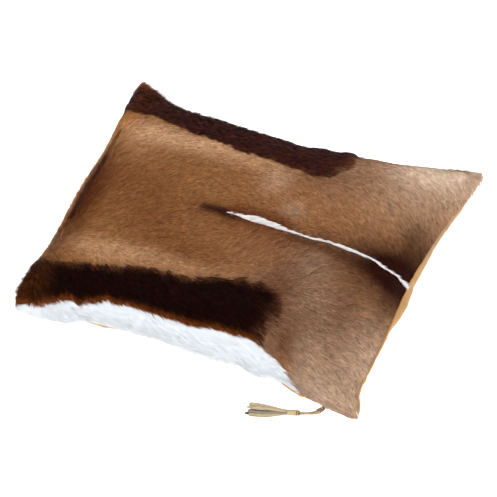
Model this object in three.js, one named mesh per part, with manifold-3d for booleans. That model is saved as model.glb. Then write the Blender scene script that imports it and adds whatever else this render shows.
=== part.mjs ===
// A springbok hide cushion, filled, lying on its leather back. Millimetres, +Z up.
// The origin is the middle of the flat patch it rests on. +X runs along the long side, with the
// zip's tassel end at +X, and +Y runs from the near long side, where the zip is, to the far one.
import * as THREE from 'three';
import { mergeVertices } from 'three/addons/utils/BufferGeometryUtils.js';
import Module from 'manifold-3d';

const wasm = await Module();
wasm.setup();

// Driving sizes
const CROWN_RISE = 56; // the crown's top above the seam
const DOME_SHARE = 0.2; // how much of that rise is the slow dome between the sides
const END_ROUND = 78; // how far in from a short side the face is still turning over
const SIDE_ROUND = 84; // the same, in from a long side
const BACK_ROUND = 66; // how far in from the seam the back reaches the floor
const CORNER_SLACK = 0.46; // share of the filling that is missing at a corner
const CORNER_REACH = 58; // how far that slackness reaches
const COLUMNS = 46; // cells along X
const ROWS = 32; // cells along Y
const EDGE_CROWDING = 0.62; // how much the cells crowd towards the seam
const SEWN_GAP = 0.35; // clearance between the hide's skin and the filled back
const SKIN = 1.3; // tanned skin without its hair
const PILE = 3.2; // lying hair on the skin
const PILE_AT_SEAM = 1.9; // the same hair where the seam presses it down

// The four corners of the seam. The far left one stands up as an ear, the near right one droops.
const CORNER = {
  nearLeft: new THREE.Vector3(-287, -190, 37),
  nearRight: new THREE.Vector3(286, -188, 29),
  farLeft: new THREE.Vector3(-284, 200, 51),
  farRight: new THREE.Vector3(293, 187, 44),
};

// How the sewn sides pull in between the corners, from their left or near end at 0 to the other
// end at 1, and how far the filling lifts the seam above the straight line between its corners.
const NEAR_SIDE = [
  { at: 0, drawnIn: 0, lift: 0 },
  { at: 0.06, drawnIn: 4, lift: 2 },
  { at: 0.2, drawnIn: 14, lift: 6 },
  { at: 0.35, drawnIn: 20, lift: 9 },
  { at: 0.55, drawnIn: 21, lift: 10 },
  { at: 0.72, drawnIn: 20, lift: 8 },
  { at: 0.82, drawnIn: 13, lift: 5 },
  { at: 0.93, drawnIn: 2, lift: 2 },
  { at: 1, drawnIn: 0, lift: 0 },
];
const FAR_SIDE = [
  { at: 0, drawnIn: 0, lift: 0 },
  { at: 0.05, drawnIn: 13, lift: -2 },
  { at: 0.12, drawnIn: 28, lift: -4 },
  { at: 0.3, drawnIn: 35, lift: -1 },
  { at: 0.45, drawnIn: 38, lift: 1 },
  { at: 0.58, drawnIn: 35, lift: 1 },
  { at: 0.68, drawnIn: 29, lift: 2 },
  { at: 0.85, drawnIn: 15, lift: 2 },
  { at: 1, drawnIn: 0, lift: 0 },
];
const LEFT_SIDE = [
  { at: 0, drawnIn: 0, lift: 0 },
  { at: 0.1, drawnIn: 1, lift: 2 },
  { at: 0.2, drawnIn: 8, lift: 4 },
  { at: 0.35, drawnIn: 13, lift: 5 },
  { at: 0.5, drawnIn: 13, lift: 5 },
  { at: 0.7, drawnIn: 13, lift: 3 },
  { at: 0.92, drawnIn: 2, lift: 0 },
  { at: 1, drawnIn: 0, lift: 0 },
];
const RIGHT_SIDE = [
  { at: 0, drawnIn: 0, lift: 0 },
  { at: 0.05, drawnIn: 8, lift: 1 },
  { at: 0.1, drawnIn: 17, lift: 3 },
  { at: 0.3, drawnIn: 17, lift: 8 },
  { at: 0.5, drawnIn: 20, lift: 9 },
  { at: 0.62, drawnIn: 19, lift: 8 },
  { at: 0.8, drawnIn: 12, lift: 4 },
  { at: 0.94, drawnIn: 1, lift: 1 },
  { at: 1, drawnIn: 0, lift: 0 },
];

// How far the leather back swells out past the seam on its way down to the floor. It shows under
// the hide on the right side, and under a thin place of the belly hair on the near side.
const NEAR_SWELL = [
  { at: 0, out: 0 },
  { at: 0.1, out: 6 },
  { at: 0.22, out: 9 },
  { at: 0.34, out: 5 },
  { at: 0.6, out: 3 },
  { at: 0.8, out: 0 },
  { at: 1, out: 0 },
];
const RIGHT_SWELL = [
  { at: 0, out: 0 },
  { at: 0.2, out: 0 },
  { at: 0.35, out: 2 },
  { at: 0.45, out: 6.5 },
  { at: 0.56, out: 7 },
  { at: 0.7, out: 5 },
  { at: 0.85, out: 4 },
  { at: 1, out: 0 },
];
const HIDDEN_SWELL = [
  { at: 0, out: 0 },
  { at: 0.3, out: 6 },
  { at: 0.7, out: 6 },
  { at: 1, out: 0 },
];

// Soft troughs (below 0) and ridges (above 0) of the face, each along a straight stretch.
const CREASES = [
  { name: 'furrow of the dorsal crest', x0: -6, y0: 5, x1: 262, y1: 3, height: -3, width: 10 },
  { name: 'lip on its far side', x0: 20, y0: 24, x1: 255, y1: 24, height: 2, width: 13 },
  { name: 'lip on its near side', x0: 20, y0: -18, x1: 255, y1: -19, height: 2, width: 13 },
  { name: 'crease in from the left side', x0: -262, y0: 92, x1: -256, y1: -30, height: -4, width: 9 },
  { name: 'roll outside that crease', x0: -276, y0: 84, x1: -270, y1: -40, height: 2, width: 9 },
  { name: 'pull towards the near right corner', x0: 262, y0: -165, x1: 205, y1: -120, height: -4, width: 10 },
  { name: 'pleat beside that corner', x0: 266, y0: -140, x1: 232, y1: -96, height: 3, width: 11 },
  { name: 'fold up from the zip end', x0: 178, y0: -165, x1: 140, y1: -100, height: -4, width: 14 },
  { name: 'pleat along the far right side', x0: 250, y0: 158, x1: 130, y1: 150, height: 3, width: 11 },
  { name: 'trough inside that pleat', x0: 245, y0: 134, x1: 150, y1: 128, height: -3, width: 13 },
  { name: 'pucker on the right side', x0: 268, y0: 96, x1: 240, y1: 130, height: -3, width: 8 },
  { name: 'root of the far left ear', x0: -258, y0: 178, x1: -232, y1: 120, height: -4, width: 13 },
];

// Where the coat is longer and stands further off the skin, as flat oblongs that fade at their rims.
const LONG_HAIR = [
  { name: 'far flank band', x0: -290, x1: 95, y0: 128, y1: 200, extra: 2.6, fade: 34 },
  { name: 'near flank band', x0: -290, x1: 105, y0: -158, y1: -88, extra: 2.2, fade: 34 },
  { name: 'belly hair', x0: -290, x1: 150, y0: -200, y1: -150, extra: 2.4, fade: 20 },
  { name: 'ruff at its left end', x0: -304, x1: -258, y0: -182, y1: -124, extra: 4.5, fade: 16 },
];

// How far the white belly hair hangs over the near seam, by its distance along that side.
const BELLY_HAIR = [
  { at: 0, hangs: 3 },
  { at: 0.03, hangs: 11 },
  { at: 0.1, hangs: 15 },
  { at: 0.15, hangs: 11 },
  { at: 0.19, hangs: 2 },
  { at: 0.27, hangs: 1.5 },
  { at: 0.45, hangs: 2 },
  { at: 0.6, hangs: 2 },
  { at: 0.68, hangs: 4 },
  { at: 0.75, hangs: 4 },
  { at: 0.82, hangs: 2.5 },
  { at: 1, hangs: 2.5 },
];
const LOCK_STEP = 2.4; // how much longer every other lock of that hair is
const HAIR_TIP = 1.6; // thickness of the locks at their tips
const HAIR_FALL = new THREE.Vector3(0.16, -0.36, -0.92); // the way the locks hang

// Zip slider, pull and tassel
const SLIDER = { at: 0.9, length: 10, width: 7.5, height: 4.2, below: 9.5, gap: 0.8, bevel: 0.6 };
const BAIL = { radius: 2.6, wire: 0.6, out: 1.6 }; // the slider's wire loop, which holds the pull
const PULL = { length: 17, width: 7, tail: 5, thick: 1.3, eye: 2.5, slot: 1.7, slotIn: 3.3 };
const PULL_AIM = new THREE.Vector3(-0.73, -0.33, -0.6).normalize(); // from the bail to the eye
const PULL_FACE = new THREE.Vector3(0, -1, 0.4); // the way the pull's face looks
const HEAD = { length: 17, radius: 4, mouth: 3.1, rim: 1, sides: 16 };
const HEAD_START = new THREE.Vector3(188.6, -198.6, 4.1); // the thong's end of the head
const HEAD_END = new THREE.Vector3(172.1, -202.9, 4.1);
const STRIP = { width: 4.2, thick: 1.1, steps: 7, clear: 0.05, rooted: 6 };
const THONG = { width: 2.8, thick: 1, steps: 26, sag: 1.5, gap: 0.35 };

// Each strip of the tassel: where its tip lies, along the tassel from the head and sideways from its
// axis, how high its middle and its tip lie, how far it arches sideways, and its twist at the tip.
const STRIPS = [
  { along: 61, aside: -11.4, midHeight: 1.5, tipHeight: 0.75, arch: -1.2, twist: 5 },
  { along: 60, aside: -9.6, midHeight: 3, tipHeight: 2.1, arch: -2.2, twist: -10 },
  { along: 63, aside: -6.4, midHeight: 1.6, tipHeight: 0.75, arch: -0.6, twist: 4 },
  { along: 56, aside: -3.4, midHeight: 4.4, tipHeight: 3.2, arch: -1.9, twist: -30 },
  { along: 60, aside: -1.6, midHeight: 1.5, tipHeight: 0.75, arch: 0.4, twist: 3 },
  { along: 58, aside: 0.6, midHeight: 4.2, tipHeight: 2.9, arch: 1.4, twist: 24 },
  { along: 62, aside: 2.9, midHeight: 1.5, tipHeight: 0.75, arch: 1.1, twist: -5 },
  { along: 57, aside: 4.4, midHeight: 3.1, tipHeight: 2.3, arch: 1.6, twist: 14 },
  { along: 55, aside: 5.2, midHeight: 1.5, tipHeight: 0.75, arch: 1.9, twist: -4 },
];

const MATERIAL = {
  hide: new THREE.MeshStandardMaterial({ color: 0x9a6a42, roughness: 0.85, metalness: 0 }),
  suede: new THREE.MeshStandardMaterial({ color: 0xc39a58, roughness: 0.9, metalness: 0 }),
  strap: new THREE.MeshStandardMaterial({ color: 0xc9b48c, roughness: 0.8, metalness: 0 }),
  metal: new THREE.MeshStandardMaterial({ color: 0x6b4f3a, roughness: 0.35, metalness: 1 }),
};

// A smooth curve through one column of a table, read at a value of its `at` column.
function readTable(table, column, at) {
  const last = table.length - 2;
  const found = table.findIndex((row, k) => k <= last && at <= table[k + 1].at);
  const k = found < 0 ? last : found;
  const slope = (n) => {
    const before = table[Math.max(n - 1, 0)];
    const after = table[Math.min(n + 1, table.length - 1)];
    return (after[column] - before[column]) / (after.at - before.at);
  };
  const run = table[k + 1].at - table[k].at;
  const f = THREE.MathUtils.clamp((at - table[k].at) / run, 0, 1);
  const start = table[k][column];
  const end = table[k + 1][column];
  const fromStart = start + slope(k) * run * f;
  const fromEnd = end - slope(k + 1) * run * (1 - f);
  return THREE.MathUtils.lerp(fromStart, fromEnd, THREE.MathUtils.smoothstep(f, 0, 1));
}

// A point of one sewn side. `inward` is the way that side is drawn in.
function sidePoint(start, end, table, inward, at) {
  const p = start.clone().lerp(end, at);
  p.addScaledVector(inward, readTable(table, 'drawnIn', at));
  p.z += readTable(table, 'lift', at);
  return p;
}

const INWARD = {
  near: new THREE.Vector3(0, 1, 0),
  far: new THREE.Vector3(0, -1, 0),
  left: new THREE.Vector3(1, 0, 0),
  right: new THREE.Vector3(-1, 0, 0),
};
const nearSide = (s) => sidePoint(CORNER.nearLeft, CORNER.nearRight, NEAR_SIDE, INWARD.near, s);
const farSide = (s) => sidePoint(CORNER.farLeft, CORNER.farRight, FAR_SIDE, INWARD.far, s);
const leftSide = (t) => sidePoint(CORNER.nearLeft, CORNER.farLeft, LEFT_SIDE, INWARD.left, t);
const rightSide = (t) => sidePoint(CORNER.nearRight, CORNER.farRight, RIGHT_SIDE, INWARD.right, t);

// The sheet spanned by the four sides, with s along X and t along Y, both from 0 to 1.
function seamSheet(s, t) {
  const alongX = nearSide(s).lerp(farSide(s), t);
  const alongY = leftSide(t).lerp(rightSide(t), s);
  const nearLine = CORNER.nearLeft.clone().lerp(CORNER.nearRight, s);
  const farLine = CORNER.farLeft.clone().lerp(CORNER.farRight, s);
  return alongX.add(alongY).sub(nearLine.lerp(farLine, t));
}

// A quarter round: 0 at the seam, 1 from `reach` inwards.
function quarterRound(distance, reach) {
  const left = Math.max(0, 1 - distance / reach);
  return Math.sqrt(1 - left * left);
}

const LENGTH = CORNER.nearRight.x - CORNER.nearLeft.x;
const WIDTH = CORNER.farLeft.y - CORNER.nearLeft.y;

// How full the cushion is over (s, t), from 0 on the seam to 1 inside, turning over within the reaches.
function fullness(s, t, endReach, sideReach) {
  const ends = quarterRound(s * LENGTH, endReach) * quarterRound((1 - s) * LENGTH, endReach);
  const sides = quarterRound(t * WIDTH, sideReach) * quarterRound((1 - t) * WIDTH, sideReach);
  return ends * sides;
}

// What the slack corners leave of the filling's height.
function cornerFilling(s, t) {
  let share = 1;
  for (const cs of [0, 1]) {
    for (const ct of [0, 1]) {
      const away = Math.hypot((s - cs) * LENGTH, (t - ct) * WIDTH) / CORNER_REACH;
      share *= 1 - CORNER_SLACK * Math.exp(-away * away);
    }
  }
  return share;
}

// Height that the creases add at a point of the face.
function creaseHeight(x, y) {
  let sum = 0;
  for (const c of CREASES) {
    const dx = c.x1 - c.x0;
    const dy = c.y1 - c.y0;
    const along = ((x - c.x0) * dx + (y - c.y0) * dy) / (dx * dx + dy * dy);
    const f = THREE.MathUtils.clamp(along, 0, 1);
    const away = Math.hypot(x - c.x0 - f * dx, y - c.y0 - f * dy) / c.width;
    sum += c.height * Math.exp(-away * away);
  }
  return sum;
}

// The filled back's face, under the hide.
function facePoint(s, t) {
  const p = seamSheet(s, t);
  const dome = 1 - Math.hypot(2 * s - 1, 2 * t - 1) ** 2 / 2;
  const full = fullness(s, t, END_ROUND, SIDE_ROUND) * cornerFilling(s, t);
  p.z += CROWN_RISE * full * (1 - DOME_SHARE + DOME_SHARE * dome);
  p.z += creaseHeight(p.x, p.y) * full;
  return p;
}

// How far one side swells outwards, at a distance in from its seam.
function swellAt(table, at, distance) {
  return readTable(table, 'out', at) * Math.sin(Math.PI * quarterRound(distance, BACK_ROUND));
}

// The back's underside, which is flat on the floor wherever the back has turned under.
function undersidePoint(s, t) {
  const p = seamSheet(s, t);
  p.z *= 1 - fullness(s, t, BACK_ROUND, BACK_ROUND);
  p.addScaledVector(INWARD.near, -swellAt(NEAR_SWELL, s, t * WIDTH));
  p.addScaledVector(INWARD.far, -swellAt(HIDDEN_SWELL, s, (1 - t) * WIDTH));
  p.addScaledVector(INWARD.left, -swellAt(HIDDEN_SWELL, t, s * LENGTH));
  p.addScaledVector(INWARD.right, -swellAt(RIGHT_SWELL, t, (1 - s) * LENGTH));
  return p;
}

// How thick the lying hair is at a point of the face.
function pileThickness(x, y, s, t) {
  const inside = Math.min(s * LENGTH, (1 - s) * LENGTH, t * WIDTH, (1 - t) * WIDTH);
  let pile = THREE.MathUtils.lerp(PILE_AT_SEAM, PILE, THREE.MathUtils.smoothstep(inside, 0, 16));
  for (const z of LONG_HAIR) {
    const inX = THREE.MathUtils.smoothstep(x, z.x0 - z.fade, z.x0) *
      (1 - THREE.MathUtils.smoothstep(x, z.x1 - z.fade, z.x1));
    const inY = THREE.MathUtils.smoothstep(y, z.y0, z.y0 + z.fade) *
      (1 - THREE.MathUtils.smoothstep(y, z.y1 - z.fade, z.y1));
    pile += z.extra * inX * inY;
  }
  return pile;
}

// A grid value from 0 to 1 for cell line k of n, with the lines crowding towards both ends.
function gridLine(k, n) {
  const even = (2 * k) / n - 1;
  const crowded = (1 - EDGE_CROWDING) * even + EDGE_CROWDING * Math.sin((Math.PI / 2) * even);
  return (crowded + 1) / 2;
}

// Collects points and faces, and closes them into one indexed geometry.
class Shell {
  constructor() {
    this.points = [];
    this.faces = [];
  }

  add(p) {
    this.points.push(p.x, p.y, p.z);
    return this.points.length / 3 - 1;
  }

  quad(a, b, c, d) {
    this.faces.push(a, b, c, a, c, d);
  }

  geometry() {
    const g = new THREE.BufferGeometry();
    g.setAttribute('position', new THREE.Float32BufferAttribute(this.points, 3));
    g.setIndex(this.faces);
    g.computeVertexNormals();
    return g;
  }
}

// A (COLUMNS + 1) by (ROWS + 1) grid of points from a function of s, t and the cell lines.
function pointGrid(pointAt) {
  const grid = [];
  for (let i = 0; i <= COLUMNS; i++) {
    grid.push([]);
    for (let j = 0; j <= ROWS; j++) {
      grid[i].push(pointAt(gridLine(i, COLUMNS), gridLine(j, ROWS), i, j));
    }
  }
  return grid;
}

// Every grid place on the seam, anticlockwise seen from above.
function rimPlaces() {
  const places = [];
  for (let i = 0; i < COLUMNS; i++) places.push([i, 0]);
  for (let j = 0; j < ROWS; j++) places.push([COLUMNS, j]);
  for (let i = COLUMNS; i > 0; i--) places.push([i, ROWS]);
  for (let j = ROWS; j > 0; j--) places.push([0, j]);
  return places;
}

// Joins the cells of a grid of vertex numbers, facing up or down. Each cell is split from its outer
// corner inwards, the same way facing up or down, so that two such grids a little apart never cut
// each other.
function tileGrid(shell, ids, up) {
  for (let i = 0; i < COLUMNS; i++) {
    for (let j = 0; j < ROWS; j++) {
      const cell = [ids[i][j], ids[i + 1][j], ids[i + 1][j + 1], ids[i][j + 1]];
      const outward = i < COLUMNS / 2 === j < ROWS / 2;
      const [a, b, c, d] = outward ? cell : [...cell.slice(1), cell[0]];
      if (up) shell.quad(a, b, c, d);
      else shell.quad(a, d, c, b);
    }
  }
}

const onRim = (i, j) => i === 0 || j === 0 || i === COLUMNS || j === ROWS;

// The leather back with the filling inside it: one filled solid, face and underside meeting at the seam.
function cushionBody() {
  const shell = new Shell();
  const face = pointGrid((s, t) => shell.add(facePoint(s, t)));
  const under = pointGrid((s, t, i, j) => (onRim(i, j) ? face[i][j] : shell.add(undersidePoint(s, t))));
  tileGrid(shell, face, true);
  tileGrid(shell, under, false);
  return shell.geometry();
}

// The outward normal of every face point, from the cells round it.
function faceNormals() {
  const shell = new Shell();
  const ids = pointGrid((s, t) => shell.add(facePoint(s, t)));
  tileGrid(shell, ids, true);
  const normals = shell.geometry().getAttribute('normal');
  return ids.map((column) => column.map((id) => new THREE.Vector3().fromBufferAttribute(normals, id)));
}

// The hide: a skin with its lying hair over the whole face, and the belly hair that hangs from its
// near side as locks.
function hideFront() {
  const shell = new Shell();
  const normals = faceNormals();
  const lifted = (s, t, i, j, by) => facePoint(s, t).addScaledVector(normals[i][j], by);
  const skinPoint = (s, t, i, j) => lifted(s, t, i, j, SEWN_GAP);
  const hairPoint = (s, t, i, j) => {
    const p = facePoint(s, t);
    return lifted(s, t, i, j, SEWN_GAP + SKIN + pileThickness(p.x, p.y, s, t));
  };
  const inner = pointGrid((s, t, i, j) => shell.add(skinPoint(s, t, i, j)));
  const outer = pointGrid((s, t, i, j) => shell.add(hairPoint(s, t, i, j)));
  tileGrid(shell, inner, false);
  tileGrid(shell, outer, true);

  const places = rimPlaces();
  const lip = new Map();
  for (const [i, j] of places) lip.set(`${i},${j}`, [inner[i][j], outer[i][j]]);

  // One more row below the near side: each lock leaves the rim and hangs.
  const fall = HAIR_FALL.clone().normalize();
  const away = new THREE.Vector3(0, -1, 0);
  for (let i = 0; i <= COLUMNS; i++) {
    const s = gridLine(i, COLUMNS);
    const hangs = readTable(BELLY_HAIR, 'hangs', s) + (i % 2 ? LOCK_STEP : 0);
    const outside = hairPoint(s, 0, i, 0).addScaledVector(fall, hangs);
    const inside = outside.clone().addScaledVector(away, -HAIR_TIP);
    const tips = [shell.add(inside), shell.add(outside)];
    const [skin, hair] = lip.get(`${i},0`);
    if (i > 0) {
      const [skinBefore, hairBefore, tipsBefore] = lip.get('last');
      shell.quad(hairBefore, tipsBefore[1], tips[1], hair);
      shell.quad(tipsBefore[0], skinBefore, skin, tips[0]);
      shell.quad(tipsBefore[1], tipsBefore[0], tips[0], tips[1]);
    }
    if (i === 0) shell.quad(hair, skin, tips[0], tips[1]);
    if (i === COLUMNS) shell.quad(skin, hair, tips[1], tips[0]);
    lip.set('last', [skin, hair, tips]);
  }

  // The cut edge round the other three sides.
  for (let k = COLUMNS; k < places.length; k++) {
    const [skinA, hairA] = lip.get(places[k].join());
    const [skinB, hairB] = lip.get(places[(k + 1) % places.length].join());
    shell.quad(skinA, skinB, hairB, hairA);
  }
  return shell.geometry();
}

// A closed solid through a row of four-cornered sections, each a list of four points.
function loftSections(sections) {
  const shell = new Shell();
  const ids = sections.map((section) => section.map((p) => shell.add(p)));
  for (let k = 0; k < ids.length - 1; k++) {
    for (let n = 0; n < 4; n++) {
      const m = (n + 1) % 4;
      shell.quad(ids[k][n], ids[k][m], ids[k + 1][m], ids[k + 1][n]);
    }
  }
  shell.quad(...[...ids[0]].reverse());
  shell.quad(...ids[ids.length - 1]);
  return shell.geometry();
}

// The four corners of a flat strip's section about a point. `side` and `up` are its two ways.
function stripSection(centre, side, up, width, thick) {
  const corner = (w, h) =>
    centre.clone().addScaledVector(side, (w * width) / 2).addScaledVector(up, (h * thick) / 2);
  return [corner(-1, -1), corner(1, -1), corner(1, 1), corner(-1, 1)];
}

function toSolid(geometry) {
  const bare = geometry.clone();
  bare.deleteAttribute('normal');
  bare.deleteAttribute('uv');
  const merged = mergeVertices(bare, 1e-4);
  const mesh = new wasm.Mesh({
    numProp: 3,
    vertProperties: new Float32Array(merged.attributes.position.array),
    triVerts: new Uint32Array(merged.index.array),
  });
  return new wasm.Manifold(mesh);
}

function fromSolid(solid) {
  const mesh = solid.getMesh();
  const g = new THREE.BufferGeometry();
  g.setAttribute('position', new THREE.BufferAttribute(new Float32Array(mesh.vertProperties), 3));
  g.setIndex(new THREE.BufferAttribute(new Uint32Array(mesh.triVerts), 1));
  g.computeVertexNormals();
  return g;
}

// One strip of the tassel, from inside the head to its tip near the floor.
function tasselStrip(strip, along, aside) {
  const sections = [];
  const up = new THREE.Vector3(0, 0, 1);
  const heading = along.clone().addScaledVector(aside, strip.aside / strip.along).normalize();
  const across = new THREE.Vector3().crossVectors(up, heading).normalize();
  const rootAside = (strip.aside / HEAD.radius) * 0.5;
  for (let k = 0; k <= STRIP.steps; k++) {
    const f = k / STRIP.steps;
    const run = f * (strip.along + STRIP.rooted) - STRIP.rooted;
    const spread = THREE.MathUtils.lerp(rootAside, strip.aside, THREE.MathUtils.smoothstep(f, 0.1, 1));
    const centre = HEAD_END.clone().addScaledVector(along, run);
    centre.addScaledVector(aside, spread + strip.arch * Math.sin(Math.PI * f));
    const settled = THREE.MathUtils.lerp(strip.midHeight, strip.tipHeight, f);
    centre.z = THREE.MathUtils.lerp(HEAD_END.z, settled, THREE.MathUtils.smoothstep(f, 0.05, 0.55));
    const turn = THREE.MathUtils.degToRad(strip.twist) * f;
    const side = across.clone().applyAxisAngle(heading, turn);
    const top = up.clone().applyAxisAngle(heading, turn);
    const reach = (Math.abs(side.z) * STRIP.width + Math.abs(top.z) * STRIP.thick) / 2;
    centre.z = Math.max(centre.z, reach + STRIP.clear);
    sections.push(stripSection(centre, side, top, STRIP.width, STRIP.thick));
  }
  return loftSections(sections);
}

// The tassel's rolled head with its strips, fused at their roots.
function tassel() {
  const along = HEAD_END.clone().sub(HEAD_START).normalize();
  const aside = new THREE.Vector3().crossVectors(new THREE.Vector3(0, 0, 1), along).normalize();
  const half = HEAD.length / 2;
  const outline = [
    new THREE.Vector2(0, -half),
    new THREE.Vector2(HEAD.mouth, -half),
    new THREE.Vector2(HEAD.radius, -half + HEAD.rim),
    new THREE.Vector2(HEAD.radius, half - HEAD.rim),
    new THREE.Vector2(HEAD.mouth, half),
    new THREE.Vector2(0, half),
  ];
  const head = new THREE.LatheGeometry(outline, HEAD.sides);
  head.applyQuaternion(new THREE.Quaternion().setFromUnitVectors(new THREE.Vector3(0, 1, 0), along));
  const middle = HEAD_START.clone().lerp(HEAD_END, 0.5);
  head.translate(middle.x, middle.y, middle.z);
  let solid = toSolid(head);
  for (const strip of STRIPS) solid = solid.add(toSolid(tasselStrip(strip, along, aside)));
  return fromSolid(solid);
}

// A frame whose X axis is `aim`, for a flat piece whose face looks as near to `face` as it can.
function aimedFrame(centre, aim, face) {
  const x = aim.clone().normalize();
  const y = new THREE.Vector3().crossVectors(face, x).normalize();
  const z = new THREE.Vector3().crossVectors(x, y);
  return new THREE.Matrix4().makeBasis(x, y, z).setPosition(centre);
}

// A point of the back's near side, at a place along the seam and a distance below it.
function nearBackPoint(at, below) {
  const p = nearSide(at);
  const turned = below / p.z / quarterRound((1 - at) * LENGTH, BACK_ROUND);
  p.y += BACK_ROUND * (1 - Math.sqrt(1 - turned * turned));
  p.z -= below;
  return p;
}

// Where the slider sits on the back, the bail's middle, and the pull's frame, whose origin is its eye.
const sliderSeat = nearBackPoint(SLIDER.at, SLIDER.below)
  .addScaledVector(INWARD.near, -SLIDER.gap - SLIDER.height / 2);
const bailCentre = sliderSeat.clone().addScaledVector(INWARD.near, -SLIDER.height / 2 - BAIL.out);
const tabReach = PULL.length - PULL.width / 2; // from the eye back to the tab's tail
const slotX = PULL.slotIn - tabReach;
const eyeCentre = bailCentre.clone().addScaledVector(PULL_AIM, BAIL.radius - slotX);
const pullFrame = aimedFrame(eyeCentre, PULL_AIM, PULL_FACE);

// The thin tab of the zip pull, in its own frame: a slot near its tail, an eye in its round end.
function pullTab() {
  const half = PULL.width / 2;
  const outline = new THREE.Shape();
  outline.moveTo(-tabReach, -PULL.tail / 2);
  outline.lineTo(0, -half);
  outline.absarc(0, 0, half, -Math.PI / 2, Math.PI / 2, false);
  outline.lineTo(-tabReach, PULL.tail / 2);
  outline.closePath();
  const eye = new THREE.Path();
  eye.absarc(0, 0, PULL.eye, 0, 2 * Math.PI, true);
  const slot = new THREE.Path();
  slot.absarc(slotX, 0, PULL.slot, 0, 2 * Math.PI, true);
  outline.holes.push(eye, slot);
  const tab = new THREE.ExtrudeGeometry(outline, {
    depth: PULL.thick,
    bevelEnabled: false,
    curveSegments: 8,
  });
  return tab.translate(0, 0, -PULL.thick / 2).applyMatrix4(pullFrame);
}

// The slider under the hide's near edge: a flat body, narrower towards its tail, and its bail.
function sliderBody() {
  const half = SLIDER.width / 2;
  const nose = SLIDER.length / 2;
  const outline = new THREE.Shape();
  outline.moveTo(-nose, -half * 0.62);
  outline.quadraticCurveTo(0, -half * 0.8, nose * 0.6, -half);
  outline.quadraticCurveTo(nose, -half, nose, 0);
  outline.quadraticCurveTo(nose, half, nose * 0.6, half);
  outline.quadraticCurveTo(0, half * 0.8, -nose, half * 0.62);
  outline.closePath();
  const depth = SLIDER.height - 2 * SLIDER.bevel;
  const body = new THREE.ExtrudeGeometry(outline, {
    depth,
    bevelEnabled: true,
    bevelThickness: SLIDER.bevel,
    bevelSize: SLIDER.bevel,
    bevelOffset: -SLIDER.bevel,
    bevelSegments: 2,
    curveSegments: 5,
  });
  body.translate(0, 0, -depth / 2);
  const run = nearSide(SLIDER.at + 0.03).sub(nearSide(SLIDER.at - 0.03));
  body.applyMatrix4(aimedFrame(sliderSeat, run, INWARD.near.clone().negate()));

  const bail = new THREE.TorusGeometry(BAIL.radius, BAIL.wire, 8, 20);
  bail.rotateX(Math.PI / 2);
  bail.applyMatrix4(aimedFrame(bailCentre, PULL_AIM, PULL_FACE));
  return fromSolid(toSolid(body).add(toSolid(bail)));
}

// The thong: a narrow strip through the pull's eye, with both ends at the tassel's head.
function thong() {
  const byEye = (u, n) => new THREE.Vector3(u, 0, n).applyMatrix4(pullFrame);
  const along = HEAD_END.clone().sub(HEAD_START).normalize();
  const mouth = HEAD_START.clone().addScaledVector(along, -THONG.gap);
  const halfway = (side) =>
    byEye(6, side).lerp(mouth, 0.5).add(new THREE.Vector3(0, 0, side * 0.4 - THONG.sag));
  const route = new THREE.CatmullRomCurve3([
    mouth.clone().add(new THREE.Vector3(0, 0, 1.1)),
    halfway(1.5),
    byEye(6.5, 1.5),
    byEye(3.2, 1.8),
    byEye(1.3, 1.3),
    byEye(0.4, 0),
    byEye(1.3, -1.3),
    byEye(3.2, -1.8),
    byEye(6.5, -1.5),
    halfway(-1.5),
    mouth.clone().add(new THREE.Vector3(0, 0, -1.1)),
  ]);
  const across = new THREE.Vector3().setFromMatrixColumn(pullFrame, 1);
  const sections = [];
  for (let k = 0; k <= THONG.steps; k++) {
    const f = k / THONG.steps;
    const heading = route.getTangentAt(f);
    const side = across.clone().addScaledVector(heading, -across.dot(heading)).normalize();
    const top = new THREE.Vector3().crossVectors(heading, side).normalize();
    sections.push(stripSection(route.getPointAt(f), side, top, THONG.width, THONG.thick));
  }
  return loftSections(sections);
}

function named(name, geometry, material) {
  const mesh = new THREE.Mesh(geometry, material);
  mesh.name = name;
  return mesh;
}

const cushion = new THREE.Group();
cushion.add(named('cushion_body', cushionBody(), MATERIAL.suede));
cushion.add(named('hide_front', hideFront(), MATERIAL.hide));
cushion.add(named('zip_slider', sliderBody(), MATERIAL.metal));
cushion.add(named('zip_pull', pullTab(), MATERIAL.metal));
cushion.add(named('tassel_thong', thong(), MATERIAL.strap));
cushion.add(named('tassel', tassel(), MATERIAL.strap));

export default cushion;
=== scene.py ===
"""Dresses the springbok hide cushion: suede back, hair-on hide face, zip pull, thong and tassel."""

import logging
import math
from dataclasses import dataclass
from enum import Enum
from typing import Optional, Sequence

import bmesh
import bpy
import numpy as np
from mathutils import Matrix, Vector
from mathutils.bvhtree import BVHTree


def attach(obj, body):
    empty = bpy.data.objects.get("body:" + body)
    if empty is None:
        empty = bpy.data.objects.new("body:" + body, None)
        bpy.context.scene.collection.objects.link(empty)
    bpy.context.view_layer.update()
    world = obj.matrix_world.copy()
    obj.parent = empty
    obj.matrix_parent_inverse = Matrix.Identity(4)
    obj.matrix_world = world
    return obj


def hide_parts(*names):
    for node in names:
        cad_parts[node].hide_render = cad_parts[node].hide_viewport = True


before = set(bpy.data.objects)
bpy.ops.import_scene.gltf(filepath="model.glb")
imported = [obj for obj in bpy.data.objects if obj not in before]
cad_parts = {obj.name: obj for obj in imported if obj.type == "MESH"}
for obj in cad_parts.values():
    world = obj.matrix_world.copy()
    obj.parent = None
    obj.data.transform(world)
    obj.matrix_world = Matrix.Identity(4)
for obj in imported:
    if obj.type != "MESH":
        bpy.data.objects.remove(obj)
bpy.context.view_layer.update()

log = logging.getLogger("springbok_cushion")

MM = 0.001

# A length too small to matter, which keeps divisions safe, and the step that corners weld on.
TINY = 1e-9
WELD_STEP = 1e-6

Colour = tuple[float, float, float]
Table = tuple[tuple[float, ...], ...]
Span = tuple[float, float]
Point = tuple[float, float, float]
Stops = Sequence[tuple[float, Colour]]

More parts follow.
